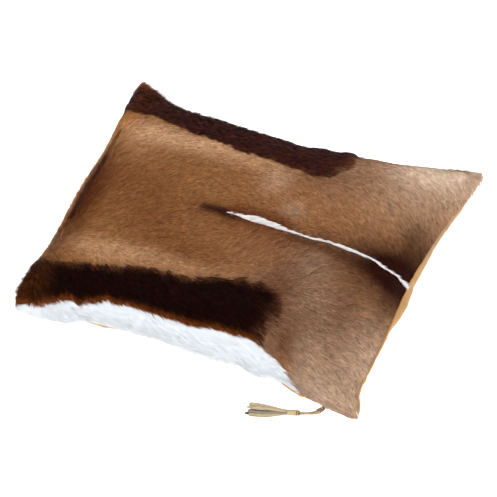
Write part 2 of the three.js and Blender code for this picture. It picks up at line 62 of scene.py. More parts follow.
# Where the white belly begins, along the near side: x, y in mm.
BELLY_EDGE: Table = (
    (-300, -193), (-280, -191), (-262, -187), (-240, -182), (-222, -178), (-200, -171),
    (-188, -170), (-180, -174), (-165, -168), (-150, -164), (-130, -156), (-121, -159),
    (-90, -156), (-50, -156), (20, -156), (50, -152), (90, -150), (112, -149),
    (122, -155), (136, -158.5), (150, -162), (160, -170), (170, -176), (180, -183),
    (190, -196), (300, -244),
)

# The upper edge of the near flank band: x, y in mm.
NEAR_BAND_EDGE: Table = (
    (-300, -118), (-250, -129), (-210, -130), (-190, -128), (-170, -122), (-150, -119),
    (-110, -115), (-90, -109), (-60, -106), (-40, -104), (-10, -102), (20, -98),
    (60, -89), (90, -85), (110, -86), (124, -89), (140, -96), (154, -108),
    (170, -135), (190, -200), (300, -260),
)

# The inner edge of the far flank band: x, y in mm.
FAR_BAND_EDGE: Table = (
    (-300, 138), (-262, 136), (-230, 136), (-205, 131), (-180, 127), (-150, 123),
    (-120, 116), (-90, 115), (-62, 112), (-45, 107), (0, 105), (40, 103),
    (70, 101), (95, 98), (110, 99), (120, 106), (132, 118), (142, 140),
    (152, 190), (300, 300),
)

# The far seam: x, y in mm.
FAR_SEAM: Table = (
    (-300, 204), (-275, 199), (-250, 191), (-225, 179), (-200, 175), (-150, 169),
    (-100, 166), (-50, 162.5), (0, 161), (50, 163), (100, 165), (150, 170), (200, 177),
    (250, 185), (300, 190),
)

# The white crest's line and its width: x, y, width in mm.
CREST_LINE: Table = (
    (-10, 7, 0), (8, 8, 1.8), (18, 8.2, 4.2), (26, 8.2, 5.8), (34, 8.2, 7.8),
    (42, 8.1, 9.6), (52, 7.8, 9.2), (62, 7.2, 7.8), (74, 6.6, 7.0), (90, 5.6, 4.4),
    (100, 5.2, 3.6), (114, 5.2, 3.4), (130, 5.0, 3.4), (144, 5.2, 3.8), (152, 6.4, 2.6),
    (166, 6.8, 3.0), (186, 6.3, 4.4), (200, 5.8, 4.4), (214, 5.8, 3.6), (228, 5.4, 3.4),
    (236, 4.4, 1.9), (243, 2.0, 1.6), (258, 2.4, 2.0), (266, 1.8, 1.7), (276, 1.6, 1.6),
)

# The way the hair lies: x, y in mm, heading in degrees from +X.
HAIR_HEADINGS: Table = (
    (-250, 165, -16), (-150, 150, -8), (-60, 150, -3), (40, 140, 2), (105, 138, 11),
    (-262, 90, 52), (-262, 20, 57), (-262, -60, 50), (-200, 105, 20), (-185, 60, 40),
    (-190, -20, 38), (-190, -80, 10), (-110, 90, 8), (-110, 20, 26), (-110, -50, 22),
    (-30, 60, 6), (-30, 10, 14), (-30, -60, 14), (20, 32, -8), (100, 60, -22),
    (220, 45, -32), (240, 150, -27), (170, 130, -18), (60, -28, 50), (140, -38, 38),
    (220, -45, 10), (255, -30, 2), (40, -70, 20), (120, -80, 12), (190, -100, -8),
    (240, -110, -6), (250, -165, -30), (190, -150, -32), (100, -118, -28),
    (-20, -125, -30), (-150, -130, -34), (-250, -140, -26), (-150, -175, -34),
    (-20, -175, -34), (110, -175, -34), (-292, -168, -150), (-290, -125, -165),
    (-278, -70, 160), (-274, -20, 155), (-274, 40, 150), (-276, 90, 145), (-290, 190, 100),
    (-268, 200, 45),
)

# Patches of other colour in the coat: x, y, reach along X, reach along Y in mm, tone, share. The
# blush and rosy patches, mostly toward the right end, are in part painted light: the hair's sheen
# where light falls on it.
COAT_PATCHES: tuple[tuple[float, float, float, float, str, float], ...] = (
    (-209, 98, 63, 11, "pale_tan", 1.15), (-98, 102, 78, 10, "pale_tan", 1.03),
    (21, 89, 77, 8, "pale_tan", 0.43), (-175, -97, 77, 10, "pale_tan", 0.49),
    (-72, -85, 75, 8, "pale_tan", 0.49), (237, 187, 43, 40, "blush", 1.12),
    (127, 125, 19, 33, "blush", 0.12), (45, 74, 16, 16, "blush", 0.18),
    (92, 38, 14, 11, "rosy", 0.52), (189, 82, 59, 38, "rosy", 0.11),
    (238, 109, 53, 43, "rosy", 0.38), (280, -127, 23, 34, "blush", 0.53),
    (229, -179, 36, 13, "blush", 0.59), (229, -162, 53, 29, "rosy", 0.69),
    (184, -103, 76, 43, "rosy", 0.85), (155, -41, 24, 26, "rosy", 0.61),
    (85, -30, 63, 20, "rosy", 0.06), (-246, -26, 24, 59, "umber", 1.22),
    (-230, 11, 27, 29, "umber", 0.56), (-106, -37, 49, 20, "umber", 0.39),
    (-30, -66, 56, 15, "umber", 0.42), (-147, 13, 41, 28, "umber", 0.36),
    (59, 2, 107, 10, "umber", 0.47), (98, -14, 89, 21, "umber", 0.37),
    (102, 100, 39, 17, "umber", 0.68), (143, -59, 44, 25, "umber", 0.45),
    (124, -100, 24, 33, "umber", 0.90), (161, -139, 14, 23, "umber", 0.71),
    (183, -105, 21, 19, "umber", 0.55), (224, -80, 21, 36, "umber", 0.57),
    (263, 2, 43, 26, "bistre", 1.35), (284, 15, 10, 38, "bistre", 1.26),
    (6, 7, 19, 5, "bistre", 1.17), (-250, 82, 25, 36, "golden", 0.88),
    (-214, 90, 33, 27, "pale_tan", 0.39), (261, -9, 6, 45, "bistre", 0.53),
    (99, 103, 29, 7, "pale_tan", 0.14), (43, 109, 28, 7, "pale_tan", 0.39),
    (-133, 130, 18, 8, "umber", 0.19), (168, -165, 5, 8, "golden", 0.35),
)

# Streaks of other colour, some of them painted shade: x and y of both ends, half width in mm, tone,
# share.
COAT_STREAKS: tuple[tuple[float, float, float, float, float, str, float], ...] = (
    (-270, 112, -267, -60, 10.0, "golden", 1.10), (-267, -60, -274, -110, 11.0, "golden", 0.90),
    # The bistre streaks in this row and the next are painted shade in the crease along the left
    # edge, where the hide turns down.
    (-248, 88, -242, 40, 3.0, "bistre", 0.80), (-242, 40, -241, -20, 4.2, "bistre", 1.30),
    (-241, -20, -246, -60, 5.0, "bistre", 1.20), (-246, -60, -258, -105, 4.0, "bistre", 0.50),
    (-232, 60, -232, -50, 9.1, "umber", 0.47), (-279, 160, -283, 128, 4.0, "bistre", 0.80),
    # The two bistre streaks in this row are painted shade along both sides of the crest.
    (150, 14, 240, 12, 6.6, "bistre", 0.25), (110, -2, 240, -8, 6.7, "bistre", 0.50),
    (200, -20, 262, -28, 16.2, "bistre", 0.11), (262, 60, 275, 20, 14.1, "bistre", 0.50),
    (-40, 5, 6, 7, 4.5, "bistre", 0.89), (10, 14, 90, 13, 9.2, "umber", 0.77),
    (188, -128, 196, -172, 1.8, "umber", 0.20),
)

# Where the hair stands up: x, y, reach in mm, how much higher, how far past the seam in mm.
RAISED_HAIR: Table = (
    (-262, 188, 20, 2.5, 4), (-232, 172, 20, 0.8, 1), (-294, -168, 22, 2.2, 5),
    (-285, -110, 26, 1.2, 2.5), (-280, -20, 45, 2.6, 4.5), (-280, 70, 45, 2.0, 3.5),
    (-150, 165, 40, 0.8, 1.5), (-60, 160, 45, 0.8, 2.0), (278, 180, 26, 2.4, 4),
    (292, -176, 14, 0.8, 1),
)

# How far the belly hair hangs past the near seam: x in mm, length in mm.
BELLY_HANG: Table = (
    (-300, 7), (-287, 6.5), (-272, 4), (-250, 2), (-230, 1), (-201, 1), (-182, 1.5), (-140, 2.5),
    (-105, 4.5), (-44, 7.5), (5, 9), (42, 8), (60, 2.5), (80, 11), (93, 17), (105, 14),
    (114, 4), (126, 0.5), (150, 5.5), (185, 8), (225, 4), (300, 1.5),
)

# Where the suede stands out from under the hide: x, y, reach, how far out, in mm.
SUEDE_FULLNESS: Table = (
    (-140, -176, 20, 5.5), (278, -24, 18, 8.0), (276, 30, 22, 1.5),
)

# How the sewing draws the seam in or out: x, y, reach, then the pull along X, Y and Z, in mm.
SEAM_PULLS: Table = (
    (290, 186, 30, 3.0, 5.0, 2.5), (290, -158, 15, -7.0, 0.0, 0.0), (290, -176, 7, 1.0, 0.0, 0.0),
    (-290, -186, 12, -1.5, -1.0, 0.0), (-240, -186, 20, 0.0, 2.6, 1.6),
    (10, -187, 30, 0.0, -1.8, -0.8), (46, -187, 11, 0.0, -3.0, -1.2), (84, -188, 10, 0.0, 5.0, 2.0),
    (108, -190, 11, 0.0, -8.0, -2.5), (144, -194, 10, 0.0, 7.0, 2.5),
    (188, -196, 15, 0.0, -4.5, -1.5), (-278, -12, 45, -3.0, 0.0, 0.5),
    (-275, 116, 26, -2.2, 0.0, 0.5), (-274, 190, 12, -2.0, 0.0, 0.0),
    (40, 163, 14, 0.0, -2.8, -0.8), (72, 163, 9, 0.0, 2.0, 0.9), (87, 163, 6, 0.0, -2.2, -0.6),
    (107, 163, 9, 0.0, 3.6, 1.3), (127, 164, 8, 0.0, -3.8, -1.2), (182, 170, 24, 0.0, -2.6, -0.8),
)

# The seam's pulls fade out in this height above the floor, in metres.
PULL_FADES_BELOW = 0.012


class Zone(Enum):
    """The parts of the coat, each with its own hair."""

    BACK = 0
    FAR_BAND = 1
    NEAR_BAND = 2
    BELLY = 3
    CREST = 4


@dataclass(frozen=True)
class HairFinish:
    """One kind of hair: its two colours, the root's darker as painted shade deep in the coat, its
    sizes in mm and its gloss.

    `spread` is how far the roots of one lock lie apart along it, and `dullest` is the darkest that
    the soft clouds over the coat make it.
    """

    root: Colour
    tip: Colour
    unevenness: float
    length: float
    width: float
    height: float
    spread: float
    roughness: float
    gloss: float
    dullest: Colour = (0.84, 0.82, 0.80)


# The back's browns, by name; bistre also serves as painted shade.
COAT_TONES: dict[str, Colour] = {
    "cinnamon": (0.258, 0.108, 0.037),
    "pale_tan": (0.536, 0.310, 0.165),
    # Blush and rosy are in part painted light: the pale sheen of hair where light falls on it.
    "blush": (0.959, 0.725, 0.547),
    "rosy": (0.378, 0.252, 0.167),
    "umber": (0.096, 0.023, 0.004),
    "bistre": (0.021, 0.003, 0.001),
    "golden": (0.45, 0.180, 0.050),
}

# The hair of each marking, its roots painted darker than its tips as shade deep in the coat.
HAIRS: dict[Zone, HairFinish] = {
    Zone.BACK: HairFinish(
        root=(0.30, 0.14, 0.06), tip=(0.36, 0.18, 0.08), unevenness=0.34,
        length=7.8, width=0.50, height=0.9, spread=2.4, roughness=0.5, gloss=0.04,
    ),
    Zone.FAR_BAND: HairFinish(
        root=(0.016, 0.004, 0.003), tip=(0.054, 0.013, 0.009), unevenness=0.45,
        length=12, width=0.50, height=1.8, spread=3.0, roughness=0.5, gloss=0.02,
    ),
    Zone.NEAR_BAND: HairFinish(
        root=(0.005, 0.0015, 0.001), tip=(0.010, 0.0025, 0.0015), unevenness=0.40,
        length=12, width=0.50, height=1.8, spread=3.0, roughness=0.5, gloss=0.01,
    ),
    Zone.BELLY: HairFinish(
        root=(0.605, 0.63, 0.655), tip=(0.64, 0.665, 0.695), unevenness=0.02,
        length=18, width=0.55, height=0.9, spread=3.0, roughness=0.6, gloss=0.05,
        dullest=(0.95, 0.95, 0.95),
    ),
    Zone.CREST: HairFinish(
        root=(0.62, 0.60, 0.60), tip=(0.74, 0.71, 0.71), unevenness=0.06,
        length=12, width=0.40, height=2.4, spread=3.0, roughness=0.6, gloss=0.15,
    ),
}

# The orange of a flank band's fringe, and the brown where a band thins out into the back.
FRINGE_TONE: Colour = (0.200, 0.055, 0.009)
BAND_RIM: Colour = (0.110, 0.040, 0.018)


def step_between(low: float, high: float, value: np.ndarray) -> np.ndarray:
    """Rises smoothly from 0 at `low` to 1 at `high`.

    Args:
        low: Where the rise begins.
        high: Where it ends; it may be below `low`, for a fall.
        value: The places to read.

    Returns:
        The share at each place.
    """
    t = np.clip((value - low) / (high - low), 0, 1)
    return t * t * (3 - 2 * t)


def read_table(table: Table, at: np.ndarray, column: int = 1) -> np.ndarray:
    """Reads one column of a table whose first column is the place, in straight lines between rows.

    Args:
        table: Rows of numbers.
        at: The places to read.
        column: Which column to read.

    Returns:
        The column's value at each place.
    """
    rows = np.array(table, float)
    return np.interp(at, rows[:, 0], rows[:, column])


def bell(off: np.ndarray) -> np.ndarray:
    """A smooth hill of height 1, from how many reaches off its middle each place is."""
    return np.exp(-0.5 * off * off)


@dataclass(frozen=True)
class Fade:
    """A share that rises smoothly from 0 at `low` to `full` at `high`."""

    low: float
    high: float
    full: float = 1.0

    def at(self, value: np.ndarray) -> np.ndarray:
        """The share at each place."""
        return self.full * step_between(self.low, self.high, value)


@dataclass(frozen=True)
class Mottle:
    """Smooth seeded noise over points, from waves that cross each other.

    `size` is about how long its waves are, and `sizes` the least and the most share of that.
    """

    seed: int
    size: float
    waves: int = 14
    sizes: Span = (0.6, 1.6)

    def at(self, points: np.ndarray) -> np.ndarray:
        """Reads the noise.

        Args:
            points: One row a point, in the size's own unit.

        Returns:
            A value of about -1 to 1 for each point.
        """
        rng = np.random.default_rng(self.seed)
        ways = rng.normal(size=(self.waves, points.shape[1]))
        ways /= np.linalg.norm(ways, axis=1)[:, None]
        ways *= 2 * math.pi / (self.size * rng.uniform(*self.sizes, (self.waves, 1)))
        phases = rng.uniform(0, 2 * math.pi, self.waves)
        return np.sin(points @ ways.T + phases).sum(1) / math.sqrt(self.waves)


def mesh_object(name: str, points: np.ndarray, faces: np.ndarray) -> bpy.types.Object:
    """Makes a smooth mesh object whose faces all have the same number of corners.

    Args:
        name: The piece's name.
        points: One row a vertex, in metres.
        faces: One row a face, of vertex numbers.

    Returns:
        The object, linked to the scene.
    """
    mesh = bpy.data.meshes.new(name)
    mesh.vertices.add(len(points))
    mesh.vertices.foreach_set("co", points.astype(np.float32).ravel())
    mesh.loops.add(faces.size)
    mesh.loops.foreach_set("vertex_index", faces.astype(np.int32).ravel())
    mesh.polygons.add(len(faces))
    starts = np.arange(len(faces), dtype=np.int32) * faces.shape[1]
    mesh.polygons.foreach_set("loop_start", starts)
    mesh.polygons.foreach_set("use_smooth", np.ones(len(faces), bool))
    mesh.update(calc_edges=True)
    mesh.validate()
    made = bpy.data.objects.new(name, mesh)
    bpy.context.scene.collection.objects.link(made)
    return made


def paint(piece: bpy.types.Object, colours: np.ndarray) -> None:
    """Gives each vertex of a piece a colour.

    Args:
        piece: The mesh object.
        colours: One linear colour a vertex.
    """
    layer = piece.data.color_attributes.new(name=PAINTED, type="FLOAT_COLOR", domain="POINT")
    rgba = np.ones((len(colours), 4), np.float32)
    rgba[:, :3] = np.clip(colours, 0, 1)
    layer.data.foreach_set("color", rgba.ravel())


def vertex_places(mesh: bpy.types.Mesh) -> np.ndarray:
    """Reads the mesh's vertices.

    Args:
        mesh: The mesh.

    Returns:
        One row a vertex, in metres.
    """
    places = np.zeros(len(mesh.vertices) * 3, np.float32)
    mesh.vertices.foreach_get("co", places)
    return places.reshape(-1, 3).astype(float)


def move_vertices(mesh: bpy.types.Mesh, places: np.ndarray) -> None:
    """Puts the mesh's vertices at new places."""
    mesh.vertices.foreach_set("co", places.astype(np.float32).ravel())
    mesh.update()


def vertex_normals(mesh: bpy.types.Mesh) -> np.ndarray:
    """Reads the mesh's vertex normals.

    Args:
        mesh: The mesh.

    Returns:
        One row a vertex.
    """
    normals = np.zeros(len(mesh.vertices) * 3, np.float32)
    mesh.vertex_normals.foreach_get("vector", normals)
    return normals.reshape(-1, 3).astype(float)


def pull_seam(places: np.ndarray) -> np.ndarray:
    """Moves places near the seam as the sewing draws them in or out.

    Args:
        places: One row a point, in metres.

    Returns:
        The moved places.
    """
    pulled = places.copy()
    for at_x, at_y, reach, *way in SEAM_PULLS:
        off = np.hypot(places[:, 0] / MM - at_x, places[:, 1] / MM - at_y) / reach
        share = bell(off) * step_between(0.0, PULL_FADES_BELOW, places[:, 2])
        pulled += share[:, None] * np.array(way) * MM
    return pulled


def apply_modifiers(piece: bpy.types.Object) -> None:
    """Replaces a piece's mesh by its evaluated mesh and drops its modifiers.

    Args:
        piece: The mesh object.
    """
    graph = bpy.context.evaluated_depsgraph_get()
    made = bpy.data.meshes.new_from_object(piece.evaluated_get(graph))
    piece.modifiers.clear()
    piece.data = made


def tree_of(piece: bpy.types.Object) -> BVHTree:
    """Makes a search tree of a piece's own faces.

    Args:
        piece: The mesh object.

    Returns:
        The tree.
    """
    mesh = piece.data
    corners = [tuple(face.vertices) for face in mesh.polygons]
    return BVHTree.FromPolygons(vertex_places(mesh).tolist(), corners)


def nearest(tree: BVHTree, points: np.ndarray) -> tuple[np.ndarray, np.ndarray]:
    """Finds the nearest place of a surface to each point.

    Args:
        tree: The surface's search tree.
        points: One row a point.

    Returns:
        The nearest places and the surface's normals there.
    """
    places, normals = np.empty_like(points), np.empty_like(points)
    for k, point in enumerate(points):
        place, normal, _, _ = tree.find_nearest(point)
        places[k], normals[k] = place, normal
    return places, normals


# The name of the colour painted on the pieces, and the colour mixer's sockets by number.
PAINTED = "coat"
MIX_FIRST, MIX_SECOND, MIX_RESULT = 6, 7, 2

# The low and high marks between which a noise mostly runs.
NOISE_MARKS: Span = (0.3, 0.7)


@dataclass(frozen=True)
class Shader:
    """A material under construction, with short ways to add and join its nodes."""

    material: bpy.types.Material

    @classmethod
    def start(cls, name: str) -> "Shader":
        """Starts a material with its surface shader.

        Args:
            name: The material's name.

        Returns:
            The material under construction.
        """
        material = bpy.data.materials.new(name)
        material.use_nodes = True
        return cls(material)

    @property
    def surface(self) -> bpy.types.Node:
        """The material's surface shader."""
        return self.material.node_tree.nodes["Principled BSDF"]

    def add(self, kind: str, **settings: object) -> bpy.types.Node:
        """Adds a node.

        Args:
            kind: The node's type.
            settings: Properties of the node, or numbers for its inputs by name with _ for a space.

        Returns:
            The node.
        """
        node = self.material.node_tree.nodes.new(kind)
        for name, value in settings.items():
            if hasattr(node, name):
                setattr(node, name, value)
            else:
                node.inputs[name.replace("_", " ")].default_value = value
        return node

    def join(self, source: bpy.types.NodeSocket, target: bpy.types.NodeSocket) -> None:
        """Links an output to an input."""
        self.material.node_tree.links.new(source, target)

    def set(self, **values: object) -> None:
        """Sets the surface shader's own inputs by name, with _ for a space."""
        for name, value in values.items():
            self.surface.inputs[name.replace("_", " ")].default_value = value

    def places(self) -> bpy.types.NodeSocket:
        """The object's own coordinates."""
        return self.add("ShaderNodeTexCoord").outputs["Object"]

    def noise(self, scale: float, detail: float = 4, roughness: float = 0.55) -> bpy.types.Node:
        """A noise over the object's own coordinates.

        Args:
            scale: How many lumps go in a metre.
            detail: How many finer layers it has.
            roughness: How strong those layers are.

        Returns:
            The noise node.
        """
        node = self.add("ShaderNodeTexNoise", Scale=scale, Detail=detail, Roughness=roughness)
        self.join(self.places(), node.inputs["Vector"])
        return node

    def ramp(self, source: bpy.types.NodeSocket, stops: Stops) -> bpy.types.NodeSocket:
        """Turns a value into a colour.

        Args:
            source: The value.
            stops: Places from 0 to 1 with their colours.

        Returns:
            The colour.
        """
        node = self.add("ShaderNodeValToRGB")
        points = node.color_ramp.elements
        while len(points) < len(stops):
            points.new(0.5)
        for point, (place, colour) in zip(points, stops):
            point.position = place
            point.color = (*colour, 1)
        self.join(source, node.inputs["Fac"])
        return node.outputs["Color"]

    def tint(self, noise: bpy.types.Node, stops: Stops) -> None:
        """Colours the surface by a noise.

        Args:
            noise: The noise node.
            stops: Places from 0 to 1 with their colours.
        """
        self.join(self.ramp(noise.outputs["Fac"], stops), self.surface.inputs["Base Color"])

    def tint_painted(self, noise: bpy.types.Node, stops: Stops) -> None:
        """Colours the surface by the colour painted on the piece, clouded by a noise.

        Args:
            noise: The noise node.
            stops: Places from 0 to 1 with the colours that multiply the painted one.
        """
        painted = self.add("ShaderNodeAttribute", attribute_name=PAINTED)
        mix = self.add("ShaderNodeMix", data_type="RGBA", blend_type="MULTIPLY")
        mix.inputs["Factor"].default_value = 1.0
        self.join(painted.outputs["Color"], mix.inputs[MIX_FIRST])
        self.join(self.ramp(noise.outputs["Fac"], stops), mix.inputs[MIX_SECOND])
        self.join(mix.outputs[MIX_RESULT], self.surface.inputs["Base Color"])

    def roughen(self, noise: bpy.types.Node, low: float, high: float) -> None:
        """Varies the surface's roughness by a noise.

        Args:
            noise: The noise node.
            low: The roughness where the noise is at its low mark.
            high: The roughness where it is at its high mark.
        """
        first, last = NOISE_MARKS
        node = self.add(
            "ShaderNodeMapRange", From_Min=first, From_Max=last, To_Min=low, To_Max=high
        )
        self.join(noise.outputs["Fac"], node.inputs["Value"])
        self.join(node.outputs["Result"], self.surface.inputs["Roughness"])

    def bump(self, noise: bpy.types.Node, depth: float, strength: float) -> None:
        """Gives the surface a bump by a noise.

        Args:
            noise: The noise node.
            depth: The relief's depth in metres.
            strength: How strongly it shades.
        """
        node = self.add("ShaderNodeBump", Strength=strength, Distance=depth)
        self.join(noise.outputs["Fac"], node.inputs["Height"])
        self.join(node.outputs["Normal"], self.surface.inputs["Normal"])


class Finishes:
    """The cushion's materials."""

    @staticmethod
    def hair(name: str, kind: HairFinish) -> bpy.types.Material:
        """Hair coloured strand by strand.

        Args:
            name: The material's name.
            kind: The kind of hair.

        Returns:
            The material.
        """
        shader = Shader.start(name)
        cloudy = shader.noise(70, detail=5)
        shader.tint_painted(cloudy, ((0.3, kind.dullest), (0.7, (1, 1, 1))))
        shader.roughen(cloudy, kind.roughness - 0.06, kind.roughness + 0.06)
        shader.set(Specular_IOR_Level=kind.gloss)
        return shader.material

    @staticmethod
    def suede() -> bpy.types.Material:
        """Golden tan suede with a brushed nap.

        Returns:
            The material.
        """
        shader = Shader.start("suede_nap")
        cloudy = shader.noise(16, detail=6, roughness=0.6)
        shader.tint(cloudy, (
            (0.32, (0.25, 0.125, 0.034)), (0.5, (0.33, 0.175, 0.052)), (0.68, (0.40, 0.225, 0.078)),
        ))
        shader.roughen(cloudy, 0.86, 0.96)
        shader.set(Sheen_Weight=0.25, Sheen_Roughness=0.45, Specular_IOR_Level=0.15)
        shader.bump(shader.noise(1500, detail=3, roughness=0.7), depth=0.6 * MM, strength=0.5)
        return shader.material

    @staticmethod
    def strap() -> bpy.types.Material:
        """Pale split leather, a little darker in its clouds.

        Returns:
            The material.
        """
        shader = Shader.start("strap_split_leather")
        cloudy = shader.noise(160, detail=5)
        shader.tint_painted(
            cloudy, ((0.32, (0.72, 0.66, 0.58)), (0.5, (1, 1, 1)), (0.7, (1, 0.98, 0.94)))
        )
        shader.roughen(cloudy, 0.6, 0.8)
        shader.set(Specular_IOR_Level=0.3)
        shader.bump(shader.noise(2400, detail=3, roughness=0.7), depth=0.3 * MM, strength=0.5)
        return shader.material

    @staticmethod
    def copper() -> bpy.types.Material:
        """Dark antique copper, brighter where it is worn.

        Returns:
            The material.
        """
        shader = Shader.start("zip_antique_copper")
        blotch = shader.noise(420, detail=6, roughness=0.65)
        shader.tint(blotch, (
            (0.34, (0.055, 0.022, 0.015)), (0.52, (0.16, 0.075, 0.05)), (0.7, (0.36, 0.19, 0.12)),
        ))
        shader.roughen(blotch, 0.5, 0.28)
        shader.set(Metallic=0.9)
        shader.bump(blotch, depth=0.1 * MM, strength=0.4)
        return shader.material

    @staticmethod
    def skin() -> bpy.types.Material:
        """The tanned skin under the hair, in the coat's colours painted darker as the shade under
        the hair.

        Returns:
            The material.
        """
        shader = Shader.start("tanned_skin")
        pores = shader.noise(900, detail=4, roughness=0.7)
        shader.tint_painted(pores, ((0.3, (0.6, 0.56, 0.52)), (0.7, (1, 1, 1))))
        shader.roughen(pores, 0.75, 0.9)
        shader.set(Sheen_Weight=0.0, Specular_IOR_Level=0.2)
        shader.bump(pores, depth=0.6 * MM, strength=0.5)
        return shader.material

    @staticmethod
    def floor() -> bpy.types.Material:
        """Plain pale floor.

        Returns:
            The material.
        """
        shader = Shader.start("pale_floor")
        cloudy = shader.noise(1.5, detail=2)
        shader.tint(cloudy, ((0.3, (0.90, 0.90, 0.90)), (0.7, (0.92, 0.92, 0.92))))
        shader.set(
            Roughness=0.9, Specular_IOR_Level=0.1, Emission_Strength=0.45,
            Emission_Color=(1, 1, 1, 1),
        )
        return shader.material


@dataclass
class PhotoCamera:
    """The camera at the photograph's angle."""

    azimuth: float = 57.5
    elevation: float = 51.9
    roll: float = -34.9
    distance: float = 2.815
    aside: float = -0.004
    above: float = 0.012
    lens: float = 144.0
    sensor: float = 36.0
    sees_to: float = 50.0

    def axes(self) -> np.ndarray:
        """Turns the angles into ways.

        Returns:
            The camera's right, up and backward ways, one row each.
        """
        a, e, r = (math.radians(v) for v in (self.azimuth, self.elevation, self.roll))
        back = np.array(
            [math.sin(a) * math.cos(e), -math.cos(a) * math.cos(e), math.sin(e)]
        )
        right = np.array([math.cos(a), math.sin(a), 0.0])
        up = np.cross(back, right)
        return np.array([
            math.cos(r) * right + math.sin(r) * up,
            -math.sin(r) * right + math.cos(r) * up,
            back,
        ])

    def build(self) -> bpy.types.Object:
        """Makes the camera that the scene is seen through.

        Returns:
            The camera.
        """
        axes = self.axes()
        place = self.aside * axes[0] + self.above * axes[1] + self.distance * axes[2]
        data = bpy.data.cameras.new("photo_camera")
        data.lens, data.sensor_width, data.clip_end = self.lens, self.sensor, self.sees_to
        camera = bpy.data.objects.new("photo_camera", data)
        turned = Matrix(axes.T.tolist()).to_4x4()
        turned.translation = Vector(place)
        camera.matrix_world = turned
        bpy.context.scene.collection.objects.link(camera)
        bpy.context.scene.camera = camera
        return camera


@dataclass(frozen=True)
class SoftLight:
    """One large soft lamp, aimed at the cushion."""

    name: str
    place: Point
    size: float
    power: float
    colour: Colour = (1.0, 1.0, 1.0)
    aimed_at: Point = (0.0, 0.0, 0.05)

    def build(self) -> bpy.types.Object:
        """Makes the lamp.

        Returns:
            The lamp.
        """
        data = bpy.data.lights.new(self.name, "AREA")
        data.shape, data.size = "DISK", self.size
        data.energy, data.color = self.power, self.colour
        lamp = bpy.data.objects.new(self.name, data)
        lamp.location = self.place
        aim = Vector(self.aimed_at) - Vector(self.place)
        lamp.rotation_euler = aim.to_track_quat("-Z", "Y").to_euler()
        bpy.context.scene.collection.objects.link(lamp)
        return lamp


@dataclass
class Studio:
    """The pale floor and the soft light round it."""

    floor_size: float = 12.0
    sky: float = 1.45
    lamps: tuple[SoftLight, ...] = (
        SoftLight("window_light", (-1.0, 0.9, 2.9), 2.2, 50.0),
        SoftLight("fill_light", (1.7, -1.6, 2.0), 2.6, 34.0),
    )

    def build(self) -> None:
        """Makes the floor, the lamps and the even light from all round."""
        half = self.floor_size / 2
        corners = np.array([(-half, -half, 0), (half, -half, 0), (half, half, 0), (-half, half, 0)])
        floor = mesh_object("floor", corners, np.array([[0, 1, 2, 3]]))
        floor.data.materials.append(Finishes.floor())
        for lamp in self.lamps:
            lamp.build()
        world = bpy.data.worlds.new("studio")
        world.use_nodes = True
        glow = world.node_tree.nodes["Background"]
        glow.inputs["Color"].default_value = (1, 1, 1, 1)
        glow.inputs["Strength"].default_value = self.sky
        bpy.context.scene.world = world
        bpy.context.scene.view_settings.view_transform = "Standard"


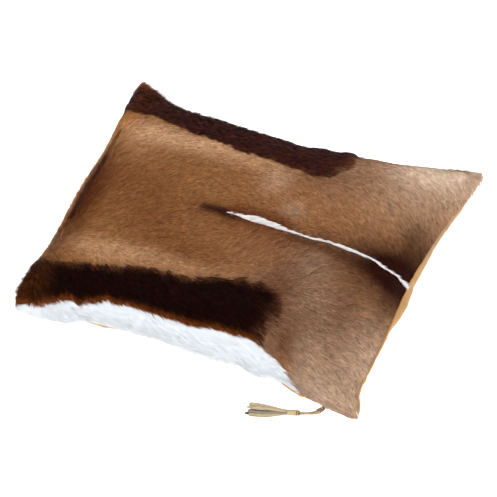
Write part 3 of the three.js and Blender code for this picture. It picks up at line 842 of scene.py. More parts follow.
@dataclass
class SuedeBack:
    """The filled suede back: one crowned form, flat where it rests."""

    voxel: float = 6.0 * MM
    shrink: float = 1.2 * MM
    pressure: float = 4.0
    stiffness: float = 25.0
    frames: int = 20
    most_out: float = 5.0 * MM
    most_in: float = 0.4 * MM
    off_hide: Fade = Fade(14.0 * 0.3 * MM, 14.0 * MM)
    off_floor: Fade = Fade(0.5 * MM, 6.0 * MM)
    wrinkle: float = 1.1 * MM
    wrinkles_above: Fade = Fade(4.0 * MM, 20.0 * MM)
    folds: tuple[tuple[Mottle, float], ...] = ((Mottle(5, 34), 0.6), (Mottle(6, 13), 0.4))
    full_above: Fade = Fade(2.0 * MM, 12.0 * MM)
    full_below: Fade = Fade(50.0 * MM, 20.0 * MM)
    flat_below: float = 0.6 * MM
    piece: Optional[bpy.types.Object] = None

    def build(self) -> bpy.types.Object:
        """Makes the back from its solid, swells it and takes it back to its room.

        Returns:
            The suede back.
        """
        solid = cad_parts["cushion_body"]
        self.piece = bpy.data.objects.new("suede_back", solid.data.copy())
        bpy.context.scene.collection.objects.link(self.piece)
        self.piece.data.materials.clear()
        self.even_out()
        self.swell()
        self.crease()
        self.round_off()
        self.piece.data.materials.append(Finishes.suede())
        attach(self.piece, "root")
        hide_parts("cushion_body")
        return self.piece

    def even_out(self) -> None:
        """Makes the form a little smaller and covers it with even faces."""
        mesh = self.piece.data
        places = vertex_places(mesh) - self.shrink * vertex_normals(mesh)
        move_vertices(mesh, places)
        remesh = self.piece.modifiers.new("even_faces", "REMESH")
        remesh.mode, remesh.voxel_size, remesh.use_smooth_shade = "VOXEL", self.voxel, True
        apply_modifiers(self.piece)

    def swell(self) -> None:
        """Blows the cover up from inside, and holds each point near the place it had."""
        before = vertex_places(self.piece.data)
        cloth = self.piece.modifiers.new("filling", "CLOTH")
        settings = cloth.settings
        settings.use_pressure, settings.uniform_pressure_force = True, self.pressure
        settings.effector_weights.gravity = 0
        settings.tension_stiffness = settings.compression_stiffness = self.stiffness
        scene = bpy.context.scene
        for moment in range(1, self.frames + 1):
            scene.frame_set(moment)
        graph = bpy.context.evaluated_depsgraph_get()
        blown = self.piece.evaluated_get(graph).to_mesh()
        after = vertex_places(blown)
        self.piece.evaluated_get(graph).to_mesh_clear()
        self.piece.modifiers.clear()
        scene.frame_set(1)
        move = after - before
        normals = vertex_normals(self.piece.data)
        inward = np.minimum((move * normals).sum(1) + self.most_in, 0)
        move -= normals * inward[:, None]
        far = np.linalg.norm(move, axis=1)
        move *= (self.most_out / np.maximum(far, self.most_out))[:, None]
        move *= self.freedom(before)[:, None]
        move_vertices(self.piece.data, before + move)

    def freedom(self, places: np.ndarray) -> np.ndarray:
        """How freely the back may swell at each point: not at all under the hide or on the floor.

        Args:
            places: One row a point.

        Returns:
            The share of the swelling that each point keeps.
        """
        under, _ = nearest(tree_of(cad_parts["hide_front"]), places)
        clear = np.linalg.norm(places - under, axis=1)
        return self.off_hide.at(clear) * self.off_floor.at(places[:, 2])

    def crease(self) -> None:
        """Draws the suede into soft wrinkles and fills it out where it swells past the hide."""
        mesh = self.piece.data
        places, normals = vertex_places(mesh), vertex_normals(mesh)
        loose = self.freedom(places) * self.wrinkles_above.at(places[:, 2])
        plan = places[:, :2] / MM
        folds = sum(share * mottle.at(plan) for mottle, share in self.folds)
        places += normals * (folds * loose * self.wrinkle)[:, None]
        for at_x, at_y, reach, out in SUEDE_FULLNESS:
            off = np.hypot(plan[:, 0] - at_x, plan[:, 1] - at_y) / reach
            low = self.full_above.at(places[:, 2]) * self.full_below.at(places[:, 2])
            places += normals * (out * MM * bell(off) * low)[:, None]
        places = pull_seam(places)
        flat = places[:, 2] < self.flat_below
        places[flat, 2] = 0.0
        places[:, 2] = np.maximum(places[:, 2], 0.0)
        move_vertices(mesh, places)

    def round_off(self) -> None:
        """Adds one subdivision and keeps the underside on the floor."""
        smooth = self.piece.modifiers.new("round", "SUBSURF")
        smooth.levels = smooth.render_levels = 1
        apply_modifiers(self.piece)
        places = vertex_places(self.piece.data)
        places[:, 2] = np.maximum(places[:, 2], 0.0)
        move_vertices(self.piece.data, places)


@dataclass
class Pelt:
    """The hide's tanned skin, sewn to the back all round, and what its hair grows from."""

    skin: float = 1.65 * MM
    hair_room: float = 1.5 * MM
    thickness: float = 1.3 * MM
    off_back: float = 0.9 * MM
    least_facing: float = 0.35
    quad_angle: float = 1.0
    quad_shape: float = 1.4
    # The skin takes the coat's colour, painted darker as the shade under the hair.
    painted_skin_shade: float = 0.55
    flat_size: Span = (0.60, 0.40)
    piece: Optional[bpy.types.Object] = None

    def build(self) -> bpy.types.Object:
        """Makes the skin from the outer face of the hide's solid.

        Returns:
            The skin.
        """
        shell = self.outer_face()
        self.piece = mesh_object("hide_skin", *shell)
        self.join_into_quads()
        smooth = self.piece.modifiers.new("round", "SUBSURF")
        smooth.levels = smooth.render_levels = 1
        apply_modifiers(self.piece)
        self.lay_on_body()
        places = vertex_places(self.piece.data) / MM
        # The coat's colour, darkened as painted shade under the hair.
        ground = CoatMap().ground(places[:, 0], places[:, 1]) * self.painted_skin_shade
        paint(self.piece, ground)
        return self.piece

    def outer_face(self) -> tuple[np.ndarray, np.ndarray]:
        """The hide solid's faces that look away from the filled back.

        Returns:
            Their points and their corners.
        """
        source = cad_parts["hide_front"].data
        body = tree_of(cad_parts["cushion_body"])
        places = vertex_places(source)
        source.calc_loop_triangles()
        faces = np.zeros(len(source.loop_triangles) * 3, np.int32)
        source.loop_triangles.foreach_get("vertices", faces)
        faces = faces.reshape(-1, 3)
        near, normals = nearest(body, places)
        apart = np.linalg.norm(places - near, axis=1)
        outer = faces[(apart[faces] > self.off_back).all(1)]
        a, b, c = (places[outer[:, k]] for k in range(3))
        facing = np.cross(b - a, c - a)
        facing /= np.maximum(np.linalg.norm(facing, axis=1), TINY)[:, None]
        away = (facing * normals[outer[:, 0]]).sum(1)
        outer = outer[away > self.least_facing]
        steps = np.round(places[outer].reshape(-1, 3) / WELD_STEP).astype(np.int64)
        welded, corners = np.unique(steps, axis=0, return_inverse=True)
        return welded * WELD_STEP, corners.reshape(-1, 3)

    def join_into_quads(self) -> None:
        """Joins pairs of triangles, so that the skin rounds off evenly."""
        mesh = bmesh.new()
        mesh.from_mesh(self.piece.data)
        bmesh.ops.join_triangles(
            mesh, faces=mesh.faces[:],
            angle_face_threshold=self.quad_angle, angle_shape_threshold=self.quad_shape,
        )
        bmesh.ops.recalc_face_normals(mesh, faces=mesh.faces[:])
        if sum(face.normal.z * face.calc_area() for face in mesh.faces) < 0:
            bmesh.ops.reverse_faces(mesh, faces=mesh.faces[:])
        mesh.to_mesh(self.piece.data)
        mesh.free()

    def lay_on_body(self) -> None:
        """Lays the skin on the filled back at its own thickness."""
        body = tree_of(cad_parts["cushion_body"])
        places = vertex_places(self.piece.data)
        near, _ = nearest(body, places)
        out = places - near
        high = np.linalg.norm(out, axis=1)
        level = np.maximum(high - self.hair_room, self.skin)
        keep = np.minimum(level / np.maximum(high, TINY), 1.0)
        move_vertices(self.piece.data, pull_seam(near + out * keep[:, None]))

    def finish(self) -> None:
        """Gives the skin its thickness and says how it is held.
        """
        solid = self.piece.modifiers.new("hide_thickness", "SOLIDIFY")
        solid.thickness, solid.offset = self.thickness, -1
        apply_modifiers(self.piece)
        self.piece.data.materials.append(Finishes.skin())
        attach(self.piece, "root")
        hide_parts("hide_front")


@dataclass(frozen=True)
class CoatMap:
    """What hair grows where on the hide, and which way it lies; its places are in mm."""

    ragged: float = 1.5
    belly_line: Fade = Fade(1.2, -1.2)
    belly_lift: float = 3.5
    near_line: Fade = Fade(15, -8)
    near_end: Fade = Fade(164, 98)
    near_end_slant: Span = (0.35, -115)
    far_line: Fade = Fade(-6, 5)
    far_end: Fade = Fade(156, 92)
    far_end_slant: Span = (0.1, 140)
    crest_line: Fade = Fade(0.15, -0.15)
    crest_spread: float = 0.75
    crest_half: float = 0.55
    crest_ends: Span = (0, 276)
    crest_reach: float = 5.0
    crest_start: Fade = Fade(-20, 0)
    crest_pull: Span = (3.0, -0.12)
    surely: Fade = Fade(0.25, 0.95)
    near_rim: Fade = Fade(13, 3, 0.75)
    near_rim_start: Fade = Fade(-330, -240)
    near_corner: Fade = Fade(-215, -268, 0.22)
    near_tip: Fade = Fade(-270, -296, 0.4)
    far_rim: Fade = Fade(7, 2, 0.9)
    far_corner_x: Fade = Fade(-246, -272)
    far_corner_y: Fade = Fade(168, 188)
    far_first_end: Fade = Fade(-205, -250, 0.14)
    far_last_end: Fade = Fade(108, 136, 0.3)
    heading_blur: float = 120.0

    def zone_shares(self, x: np.ndarray, y: np.ndarray) -> dict[Zone, np.ndarray]:
        """How surely each place belongs to each marking.

        Args:
            x: Places along the cushion in mm.
            y: Places across it in mm.

        Returns:
            A share of 0 to 1 for each marking; the back's own coat takes the rest.
        """
        ragged = self.ragged * Mottle(21, 26).at(np.stack([x, y], 1))
        belly = self.belly_line.at(y - read_table(BELLY_EDGE, x) - self.belly_lift)
        near = self.near_line.at(y - read_table(NEAR_BAND_EDGE, x) + ragged)
        slant, about = self.near_end_slant
        near *= self.near_end.at(x - slant * (y - about) + 2 * ragged)
        far = self.far_line.at(y - read_table(FAR_BAND_EDGE, x) + ragged)
        slant, about = self.far_end_slant
        far *= self.far_end.at(x - slant * (y - about) + 2 * ragged)
        line = np.abs(y - read_table(CREST_LINE, x))
        wide = np.maximum(read_table(CREST_LINE, x, 2) / 2 - self.crest_spread, self.crest_half)
        first, last = self.crest_ends
        crest = self.crest_line.at(line - wide) * (x > first) * (x < last)
        return {
            Zone.BELLY: belly,
            Zone.NEAR_BAND: near * (1 - belly),
            Zone.FAR_BAND: far,
            Zone.CREST: crest,
        }

    def pick_zones(self, x: np.ndarray, y: np.ndarray, rng: np.random.Generator) -> np.ndarray:
        """Picks each hair's marking, so that the markings' edges mix hair by hair.

        Args:
            x: Places along the cushion in mm.
            y: Places across it in mm.
            rng: The seeded random source.

        Returns:
            The number of each hair's zone.
        """
        zones = np.full(len(x), Zone.BACK.value)
        draw = rng.random(len(x))
        for zone, share in self.zone_shares(x, y).items():
            zones[draw < self.surely.at(share)] = zone.value
        return zones

    def back_tone(self, x: np.ndarray, y: np.ndarray) -> np.ndarray:
        """The brown coat's colour, with painted shade in the left edge's crease and beside the
        crest, and in part painted light where it is blush and rosy.

        Args:
            x: Places along the cushion in mm.
            y: Places across it in mm.

        Returns:
            One linear colour a place.
        """
        tone = np.tile(COAT_TONES["cinnamon"], (len(x), 1))
        for at_x, at_y, reach_x, reach_y, name, share in COAT_PATCHES:
            off = np.hypot((x - at_x) / reach_x, (y - at_y) / reach_y)
            part = np.clip(share * bell(off), 0, 1)[:, None]
            tone = tone * (1 - part) + part * np.array(COAT_TONES[name])
        for x0, y0, x1, y1, half, name, share in COAT_STREAKS:
            run = np.clip(
                ((x - x0) * (x1 - x0) + (y - y0) * (y1 - y0)) / math.hypot(x1 - x0, y1 - y0) ** 2,
                0, 1,
            )
            off = np.hypot(x - x0 - run * (x1 - x0), y - y0 - run * (y1 - y0)) / half
            part = np.clip(share * bell(off), 0, 1)[:, None]
            tone = tone * (1 - part) + part * np.array(COAT_TONES[name])
        return tone

    def raised(self, x: np.ndarray, y: np.ndarray) -> tuple[np.ndarray, np.ndarray]:
        """How the hair stands up at each place.

        Args:
            x: Places along the cushion in mm.
            y: Places across it in mm.

        Returns:
            How much higher it stands, and how far it may pass the seam in mm.
        """
        higher, past = np.ones(len(x)), np.zeros(len(x))
        for at_x, at_y, reach, more, over in RAISED_HAIR:
            part = bell(np.hypot(x - at_x, y - at_y) / reach)
            higher += part * more
            past = np.maximum(past, part * over)
        return higher, past

    def ground(self, x: np.ndarray, y: np.ndarray) -> np.ndarray:
        """The colour of the coat as a whole, for the skin under it.

        Args:
            x: Places along the cushion in mm.
            y: Places across it in mm.

        Returns:
            One linear colour a place.
        """
        tone = self.back_tone(x, y)
        for zone, share in self.zone_shares(x, y).items():
            tone = tone * (1 - share[:, None]) + share[:, None] * np.array(HAIRS[zone].root)
        return tone

    def headings(self, x: np.ndarray, y: np.ndarray) -> np.ndarray:
        """The way the hair lies.

        Args:
            x: Places along the cushion in mm.
            y: Places across it in mm.

        Returns:
            One direction in plan a place, of length 1.
        """
        rows = np.array(HAIR_HEADINGS, float)
        off = (x[:, None] - rows[:, 0]) ** 2 + (y[:, None] - rows[:, 1]) ** 2
        weight = 1.0 / (off + self.heading_blur) ** 2
        turn = np.radians(rows[:, 2])
        ways = np.stack([weight @ np.cos(turn), weight @ np.sin(turn)], 1)
        ways /= np.linalg.norm(ways, axis=1)[:, None]
        ways += self.by_crest(x, y)[:, None] * np.array(self.crest_pull)
        return ways / np.linalg.norm(ways, axis=1)[:, None]

    def fringe(self, zone: Zone, x: np.ndarray, y: np.ndarray) -> np.ndarray:
        """How orange a flank band's hair is at each place: at its lower edge and its ends.

        Args:
            zone: The flank band.
            x: Places along the cushion in mm.
            y: Places across it in mm.

        Returns:
            A share of 0 to 1 a place.
        """
        if zone == Zone.NEAR_BAND:
            rim = self.near_rim.at(y - read_table(BELLY_EDGE, x)) * self.near_rim_start.at(x)
            return np.clip(rim + self.near_corner.at(x) + self.near_tip.at(x), 0, 1)
        rim = self.far_rim.at(read_table(FAR_SEAM, x) - y)
        corner = self.far_corner_x.at(x) * self.far_corner_y.at(y)
        ends = self.far_first_end.at(x) + self.far_last_end.at(x)
        return np.maximum(np.maximum(rim, corner), ends)

    def by_crest(self, x: np.ndarray, y: np.ndarray) -> np.ndarray:
        """How near each place is to the white crest, from 0 to 1.

        Args:
            x: Places along the cushion in mm.
            y: Places across it in mm.

        Returns:
            One share a place.
        """
        off = (y - read_table(CREST_LINE, x)) / self.crest_reach
        return bell(off) * self.crest_start.at(x)


@dataclass(frozen=True)
class Locks:
    """Locks of hair: where each grows and the skin's normal there."""

    roots: np.ndarray
    normals: np.ndarray

    @property
    def x(self) -> np.ndarray:
        """Places along the cushion in mm."""
        return self.roots[:, 0] / MM

    @property
    def y(self) -> np.ndarray:
        """Places across the cushion in mm."""
        return self.roots[:, 1] / MM

    def some(self, chosen: np.ndarray) -> "Locks":
        """The chosen locks only."""
        return Locks(self.roots[chosen], self.normals[chosen])


@dataclass(frozen=True)
class HairTint:
    """How the locks take their colours from the coat's map."""

    # A share of the locks is painted darker, as the shade in the gaps between hairs.
    shadow_gap_share: float = 0.18
    shadow_gap_depth: float = 1.6
    # Roots painted darker, as the shade deep between the hairs, and tips lighter, where that shade
    # doesn't reach.
    painted_root_shade: float = 0.62
    tip_shade: float = 1.22
    band_darkens: float = 0.75
    band_rim: float = 0.5
    thins_out: Fade = Fade(0.95, 0.3)
    fringe_wave: float = 1.2
    fringe_tip: float = 1.25
    fringe_root: float = 0.3
    clouds: tuple[tuple[Mottle, float], ...] = ((Mottle(41, 17), 0.5), (Mottle(42, 5), 0.6))
    lift_by_lock: float = 0.6
    lift_by_clump: float = 0.2
    lift_by_cloud: float = 0.3

    def colours(
        self,
        zone: Zone,
        locks: Locks,
        coat: CoatMap,
        clump: np.ndarray,
        rng: np.random.Generator,
    ) -> np.ndarray:
        """Colours each lock from its roots to its tips.

        Args:
            zone: The marking.
            locks: Its locks.
            coat: The coat's map.
            clump: The locks' shared waviness.
            rng: The seeded random source.

        Returns:
            Three linear colours a lock: root, middle, tip.
        """
        x, y, n = locks.x, locks.y, len(locks.roots)
        kind = HAIRS[zone]
        shares = coat.zone_shares(x, y)
        dark = np.maximum(shares[Zone.NEAR_BAND], shares[Zone.FAR_BAND])[:, None]
        roots, tips = np.tile(kind.root, (n, 1)), np.tile(kind.tip, (n, 1))
        rim, fringe = np.array(BAND_RIM), np.array(FRINGE_TONE)
        if zone == Zone.BACK:
            tone = coat.back_tone(x, y) * (1 - self.band_darkens * dark)
            tone += self.band_rim * dark * rim
            # The back's roots painted darker and its tips lighter: painted shade deep in the coat.
            roots, tips = tone * self.painted_root_shade, tone * self.tip_shade
        if zone in (Zone.NEAR_BAND, Zone.FAR_BAND):
            paler = self.thins_out.at(dark)
            tips = tips * (1 - paler) + paler * rim
            warm = coat.fringe(zone, x, y + self.fringe_wave * clump)[:, None]
            tips = tips * (1 - warm) + warm * fringe * self.fringe_tip
            warm = self.fringe_root * warm
            roots = roots * (1 - warm) + warm * fringe
        plan = np.stack([x, y], 1)
        cloudy = sum(share * mottle.at(plan) for mottle, share in self.clouds)
        # Painted shade in the gaps between hairs: some locks darker.
        shadow_gap = np.where(rng.random(n) < self.shadow_gap_share, self.shadow_gap_depth, 0.0)
        lift = self.lift_by_lock * rng.normal(size=n) - shadow_gap
        lift += self.lift_by_clump * clump + self.lift_by_cloud * cloudy
        shade = np.exp(kind.unevenness * lift)[:, None]
        return np.stack([roots * shade, 0.5 * (roots + tips) * shade, tips * shade], 1)


@dataclass(frozen=True)
class HairSizes:
    """How each hair's own size differs from its kind's.

    Each pair is the least and the most share. Raised hair bursts up: most locks a little and a few
    of them a lot, which leaves spikes along the cushion's outline.
    """

    lock_lengths: Span = (0.75, 1.2)
    hair_lengths: Span = (0.85, 1.1)
    hair_widths: Span = (0.75, 1.25)
    lock_heights: Span = (0.5, 1.35)
    hair_heights: Span = (0.7, 1.2)
    reaches: Span = (0.7, 1.2)
    hangs: Span = (0.85, 1.05)
    hangs_on_slopes: float = 0.75
    crest_shortens: float = 0.4
    height_waves: float = 0.4
    least_height: float = 0.25 * MM
    overhang: float = 1.2 * MM
    raised_longer: float = 0.16
    raised_evenly: float = 0.2
    raised_in_bursts: float = 0.75
    burst: float = 2.2
    belly_raised: float = 0.3

    def draw(
        self,
        zone: Zone,
        locks: Locks,
        lock: np.ndarray,
        coat: CoatMap,
        rng: np.random.Generator,
    ) -> tuple[np.ndarray, np.ndarray, np.ndarray, np.ndarray]:
        """Draws the sizes of the hairs of one marking.

        Args:
            zone: The marking.
            locks: Its locks.
            lock: Each hair's lock.
            coat: The coat's map.
            rng: The seeded random source.

        Returns:
            Each hair's length, width, height off the skin and reach past the seam, in metres.
        """
        kind, count, n = HAIRS[zone], len(locks.roots), len(lock)
        x, y = locks.x, locks.y
        higher, past_seam = coat.raised(x, y)
        lengths = rng.uniform(*self.lock_lengths, count)[lock] * rng.uniform(*self.hair_lengths, n)
        length = kind.length * MM * lengths
        if zone != Zone.CREST:
            length *= 1 - self.crest_shortens * coat.by_crest(x, y)[lock]
        width = kind.width * MM * rng.uniform(*self.hair_widths, n)
        length *= 1 + self.raised_longer * (higher - 1)[lock]
        burst = self.burst * rng.random(count) ** 2
        waves = 1 + self.height_waves * Mottle(32, 7).at(np.stack([x, y], 1))
        height = kind.height * MM * rng.uniform(*self.lock_heights, count) * waves
        more = (higher - 1) * (self.belly_raised if zone == Zone.BELLY else 1.0)
        rise = 1 + more * (self.raised_evenly + self.raised_in_bursts * burst)
        height = (np.maximum(height, self.least_height) * rise)[lock]
        height *= rng.uniform(*self.hair_heights, n)
        free = self.overhang + (past_seam * burst)[lock] * MM * rng.uniform(*self.reaches, n)
        if zone == Zone.BELLY:
            hang = read_table(BELLY_HANG, x)[lock] * MM * rng.uniform(*self.hangs, n)
            free = np.where(locks.normals[lock][:, 2] < self.hangs_on_slopes, hang, free)
        return length, width, height, free


@dataclass
class Coat:
    """The springbok's hair, in locks of blades that lie on the skin."""

    pelt: Pelt
    locks: int = 160_000
    hairs_a_lock: int = 4
    back_parts: int = 4
    seed: int = 11
    crest_thicker: float = 6.0
    bands_thinner: float = 0.25
    turn: float = 0.13
    turn_by_clump: float = 0.5
    turn_by_lock: float = 0.8
    stray: float = 0.05
    lock_width: float = 0.45 * MM
    crest_steadies: float = 0.85
    crest_gathers: float = 0.5
    crest_narrows: float = 0.8
    midway: Span = (0.5, 0.8)
    roll: float = 0.35
    glint: float = 0.07
    glint_by_hair: float = 0.7
    belly_glint: float = 0.18
    tip_upright: float = 0.5
    hair_tone: float = 0.6
    past_edge: float = 0.6 * MM
    ledge_height: float = 0.6
    droop: float = 0.3
    belly_droop: float = 0.55
    hang: Point = (0.16, -0.36, -0.92)
    sizes: HairSizes = HairSizes()
    tint: HairTint = HairTint()
    tree: Optional[BVHTree] = None

    def build(self) -> list[bpy.types.Object]:
        """Grows all the hair.

        Returns:
            The pieces of hair, each below the limit on faces.
        """
        rng = np.random.default_rng(self.seed)
        coat = CoatMap()
        self.tree = tree_of(self.pelt.piece)
        locks = self.scatter(coat, rng)
        zones = coat.pick_zones(locks.x, locks.y, rng)
        groups = [
            (f"hair_{zone.name.lower()}", zone, np.flatnonzero(zones == zone.value))
            for zone in Zone if zone != Zone.BACK
        ]
        back = np.flatnonzero(zones == Zone.BACK.value)
        back = back[np.argsort(locks.x[back])]
        for k, share in enumerate(np.array_split(back, self.back_parts)):
            groups.append((f"hair_back_{k + 1}", Zone.BACK, share))
        looks = {zone: Finishes.hair(f"{zone.name.lower()}_hair", HAIRS[zone]) for zone in Zone}
        made = []
        for name, zone, chosen in groups:
            piece = self.piece_of(name, *self.grow(zone, locks.some(chosen), coat, rng))
            piece.data.materials.append(looks[zone])
            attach(piece, "root")
            log.info("%s: %d locks, %d faces", name, len(chosen), len(piece.data.polygons))
            made.append(piece)
        return made

    def scatter(self, coat: CoatMap, rng: np.random.Generator) -> Locks:
        """Spreads the locks' roots over the skin.

        Args:
            coat: The coat's map.
            rng: The seeded random source.

        Returns:
            The locks.
        """
        mesh = self.pelt.piece.data
        mesh.calc_loop_triangles()
        faces = np.zeros(len(mesh.loop_triangles) * 3, np.int32)
        mesh.loop_triangles.foreach_get("vertices", faces)
        faces = faces.reshape(-1, 3)
        places, normals = vertex_places(mesh), vertex_normals(mesh)
        a, b, c = (places[faces[:, k]] for k in range(3))
        area = np.linalg.norm(np.cross(b - a, c - a), axis=1)
        middle = (a + b + c) / 3 / MM
        shares = coat.zone_shares(middle[:, 0], middle[:, 1])
        bands = shares[Zone.NEAR_BAND] + shares[Zone.FAR_BAND]
        thick = 1 + self.crest_thicker * shares[Zone.CREST] - self.bands_thinner * bands
        weight = area * thick
        picked = rng.choice(len(faces), self.locks, p=weight / weight.sum())
        u, v = rng.random((2, self.locks, 1))
        u, v = np.where(u + v > 1, 1 - u, u), np.where(u + v > 1, 1 - v, v)
        mix = (1 - u - v, u, v)
        roots = sum(m * places[faces[picked, k]] for k, m in enumerate(mix))
        ways = sum(m * normals[faces[picked, k]] for k, m in enumerate(mix))
        return Locks(roots, ways / np.linalg.norm(ways, axis=1)[:, None])

    def grow(
        self, zone: Zone, locks: Locks, coat: CoatMap, rng: np.random.Generator
    ) -> tuple[np.ndarray, np.ndarray, np.ndarray]:
        """Shapes and colours every blade of one marking.

        Args:
            zone: The marking.
            locks: Its locks.
            coat: The coat's map.
            rng: The seeded random source.

        Returns:
            The points of each blade, their colours and their normals: three points a blade on
            the back, and four elsewhere.
        """
        kind, count = HAIRS[zone], len(locks.roots)
        lock = np.repeat(np.arange(count), self.hairs_a_lock)
        n = len(lock)
        clump = Mottle(31, 9).at(np.stack([locks.x, locks.y], 1))
        normals = locks.normals[lock]
        along, across = self.lie(locks, lock, coat, clump, rng)
        crested = coat.by_crest(locks.x, locks.y)[lock]
        shift = kind.spread * MM * rng.uniform(-1, 1, n) * (1 - self.crest_gathers * crested)
        aside = self.lock_width * rng.normal(size=n) * (1 - self.crest_narrows * crested)
        roots = locks.roots[lock] + along * shift[:, None] + across * aside[:, None]
        roots, _ = nearest(self.tree, roots)
        length, width, height, free = self.sizes.draw(zone, locks, lock, coat, rng)

        steps = ((1.0, 1.0),) if zone == Zone.BACK else (self.midway, (1.0, 1.0))
        spine = [roots]
        for part, rise in steps:
            point = roots + along * (length * part)[:, None]
            place, facing = self.settle(point, normals, height * rise, free, zone == Zone.BELLY)
            spine.append(place)
        points = self.blades_on(spine, normals, width, rng)
        tones = self.tint.colours(zone, locks, coat, clump, rng)[lock]
        own_tone = self.hair_tone - np.abs(rng.normal(size=n))
        tones *= np.exp(kind.unevenness * own_tone)[:, None, None]
        glint = self.glint * (self.belly_glint if zone == Zone.BELLY else 1.0)
        lean = rng.normal(0, 1, (count, 3))[lock] + self.glint_by_hair * rng.normal(0, 1, (n, 3))
        by_root = normals + glint * lean
        by_tip = facing + normals * self.tip_upright + glint * lean
        if zone == Zone.BACK:
            shown, shades = [by_root, by_root, by_tip], tones[:, [0, 0, 2]]
        else:
            shown, shades = [by_root, by_root, by_root, by_tip], tones[:, [0, 1, 1, 2]]
        looks = np.stack([v / np.linalg.norm(v, axis=1)[:, None] for v in shown], 1)
        return points, shades, looks

    def lie(
        self,
        locks: Locks,
        lock: np.ndarray,
        coat: CoatMap,
        clump: np.ndarray,
        rng: np.random.Generator,
    ) -> tuple[np.ndarray, np.ndarray]:
        """Lays each hair the way the coat runs, with its lock's turn and its own.

        Args:
            locks: The locks.
            lock: Each hair's lock.
            coat: The coat's map.
            clump: The locks' shared waviness.
            rng: The seeded random source.

        Returns:
            Each hair's way along the skin and the way across it.
        """
        steady = 1 - self.crest_steadies * coat.by_crest(locks.x, locks.y)
        swing = self.turn_by_clump * clump + self.turn_by_lock * rng.normal(size=len(clump))
        swing *= self.turn * steady
        higher, _ = coat.raised(locks.x, locks.y)
        swing = swing[lock] + (self.stray * higher)[lock] * rng.normal(size=len(lock))
        cos, sin = np.cos(swing), np.sin(swing)
        east, north = coat.headings(locks.x, locks.y)[lock].T
        flat = np.stack([east * cos - north * sin, east * sin + north * cos, 0 * cos], 1)
        normals = locks.normals[lock]
        along = flat - normals * (flat * normals).sum(1)[:, None]
        along /= np.linalg.norm(along, axis=1)[:, None]
        return along, np.cross(normals, along)

    def settle(
        self,
        points: np.ndarray,
        normals: np.ndarray,
        height: np.ndarray,
        free: np.ndarray,
        falls: bool,
    ) -> tuple[np.ndarray, np.ndarray]:
        """Lays points of hair on the skin, and lets them pass the seam a little.

        Args:
            points: Where the hair would reach if the skin went on flat.
            normals: The skin's normals at the roots.
            height: How far off the skin each point stands.
            free: How far each may pass the seam.
            falls: Whether the hair past the seam falls, as the belly's does.

        Returns:
            The places and the skin's normals near them.
        """
        near, facing = nearest(self.tree, points)
        facing = np.where((facing * normals).sum(1)[:, None] < 0, -facing, facing)
        past = points - near
        beside = past - facing * (past * facing).sum(1)[:, None]
        over = np.linalg.norm(beside, axis=1)
        outside = (over > self.past_edge)[:, None]
        reach = np.minimum(over, free)
        ledge = near + facing * (height * self.ledge_height)[:, None]
        ledge += beside / np.maximum(over, TINY)[:, None] * reach[:, None]
        droop = self.belly_droop if falls else self.droop
        ledge += np.array(self.hang) * (reach * droop)[:, None]
        return np.where(outside, ledge, near + facing * height[:, None]), facing

    def blades_on(
        self,
        spine: Sequence[np.ndarray],
        normals: np.ndarray,
        width: np.ndarray,
        rng: np.random.Generator,
    ) -> np.ndarray:
        """Puts a tapering blade on each hair.

        Args:
            spine: The roots, the middles where there are any, and the tips.
            normals: The skin's normals at the roots.
            width: Each blade's width.
            rng: The seeded random source.

        Returns:
            Each blade's points: two at the root and the tip, or the root, two midway and the tip.
        """
        way = spine[-1] - spine[0]
        way /= np.maximum(np.linalg.norm(way, axis=1), TINY)[:, None]
        side = np.cross(normals, way)
        side /= np.maximum(np.linalg.norm(side, axis=1), TINY)[:, None]
        up = np.cross(way, side)
        roll = rng.normal(0, self.roll, len(normals))[:, None]
        half = (side * np.cos(roll) + up * np.sin(roll)) * (width / 2)[:, None]
        if len(spine) == 2:
            return np.stack([spine[0] + half, spine[0] - half, spine[1]], 1)
        return np.stack([spine[0], spine[1] - half, spine[1] + half, spine[2]], 1)

    def piece_of(
        self, name: str, points: np.ndarray, tones: np.ndarray, looks: np.ndarray
    ) -> bpy.types.Object:
        """Joins blades into one piece.

        Args:
            name: The piece's name.
            points: Three or four points a blade.
            tones: As many colours a blade.
            looks: As many normals a blade, near the skin's own, so that the coat shades as one.

        Returns:
            The piece of hair.
        """
        each = points.shape[1]
        corners = np.array([[0, 1, 2]] if each == 3 else [[0, 1, 2], [1, 3, 2]])
        faces = (np.arange(len(points))[:, None, None] * each + corners).reshape(-1, 3)
        piece = mesh_object(name, points.reshape(-1, 3), faces)
        piece.data.normals_split_custom_set_from_vertices(looks.reshape(-1, 3).tolist())
        paint(piece, tones.reshape(-1, 3))
        return piece


def closed_tube(
    rings: np.ndarray, tones: np.ndarray
) -> tuple[np.ndarray, np.ndarray, np.ndarray]:
    """Closes rings of points into a solid.

    Args:
        rings: The points of each ring in turn.
        tones: One colour a ring.

    Returns:
        Its points, its faces and its points' colours.
    """
    steps, sides = rings.shape[:2]
    k, n = np.meshgrid(np.arange(steps - 1), np.arange(sides), indexing="ij")
    m = (n + 1) % sides
    faces = np.stack([k * sides + n, k * sides + m, (k + 1) * sides + m, (k + 1) * sides + n], -1)
    half = np.arange(sides // 2 - 1)
    cap = np.stack([half, half + 1, sides - 2 - half, sides - 1 - half], 1)
    faces = np.concatenate([faces.reshape(-1, 4), cap[:, ::-1], cap + (steps - 1) * sides])
    return rings.reshape(-1, 3), faces, np.repeat(tones, sides, axis=0)


class SeamSide(Enum):
    """The sides of the seam where the suede's edge shows."""

    RIGHT = "right"
    NEAR = "near"


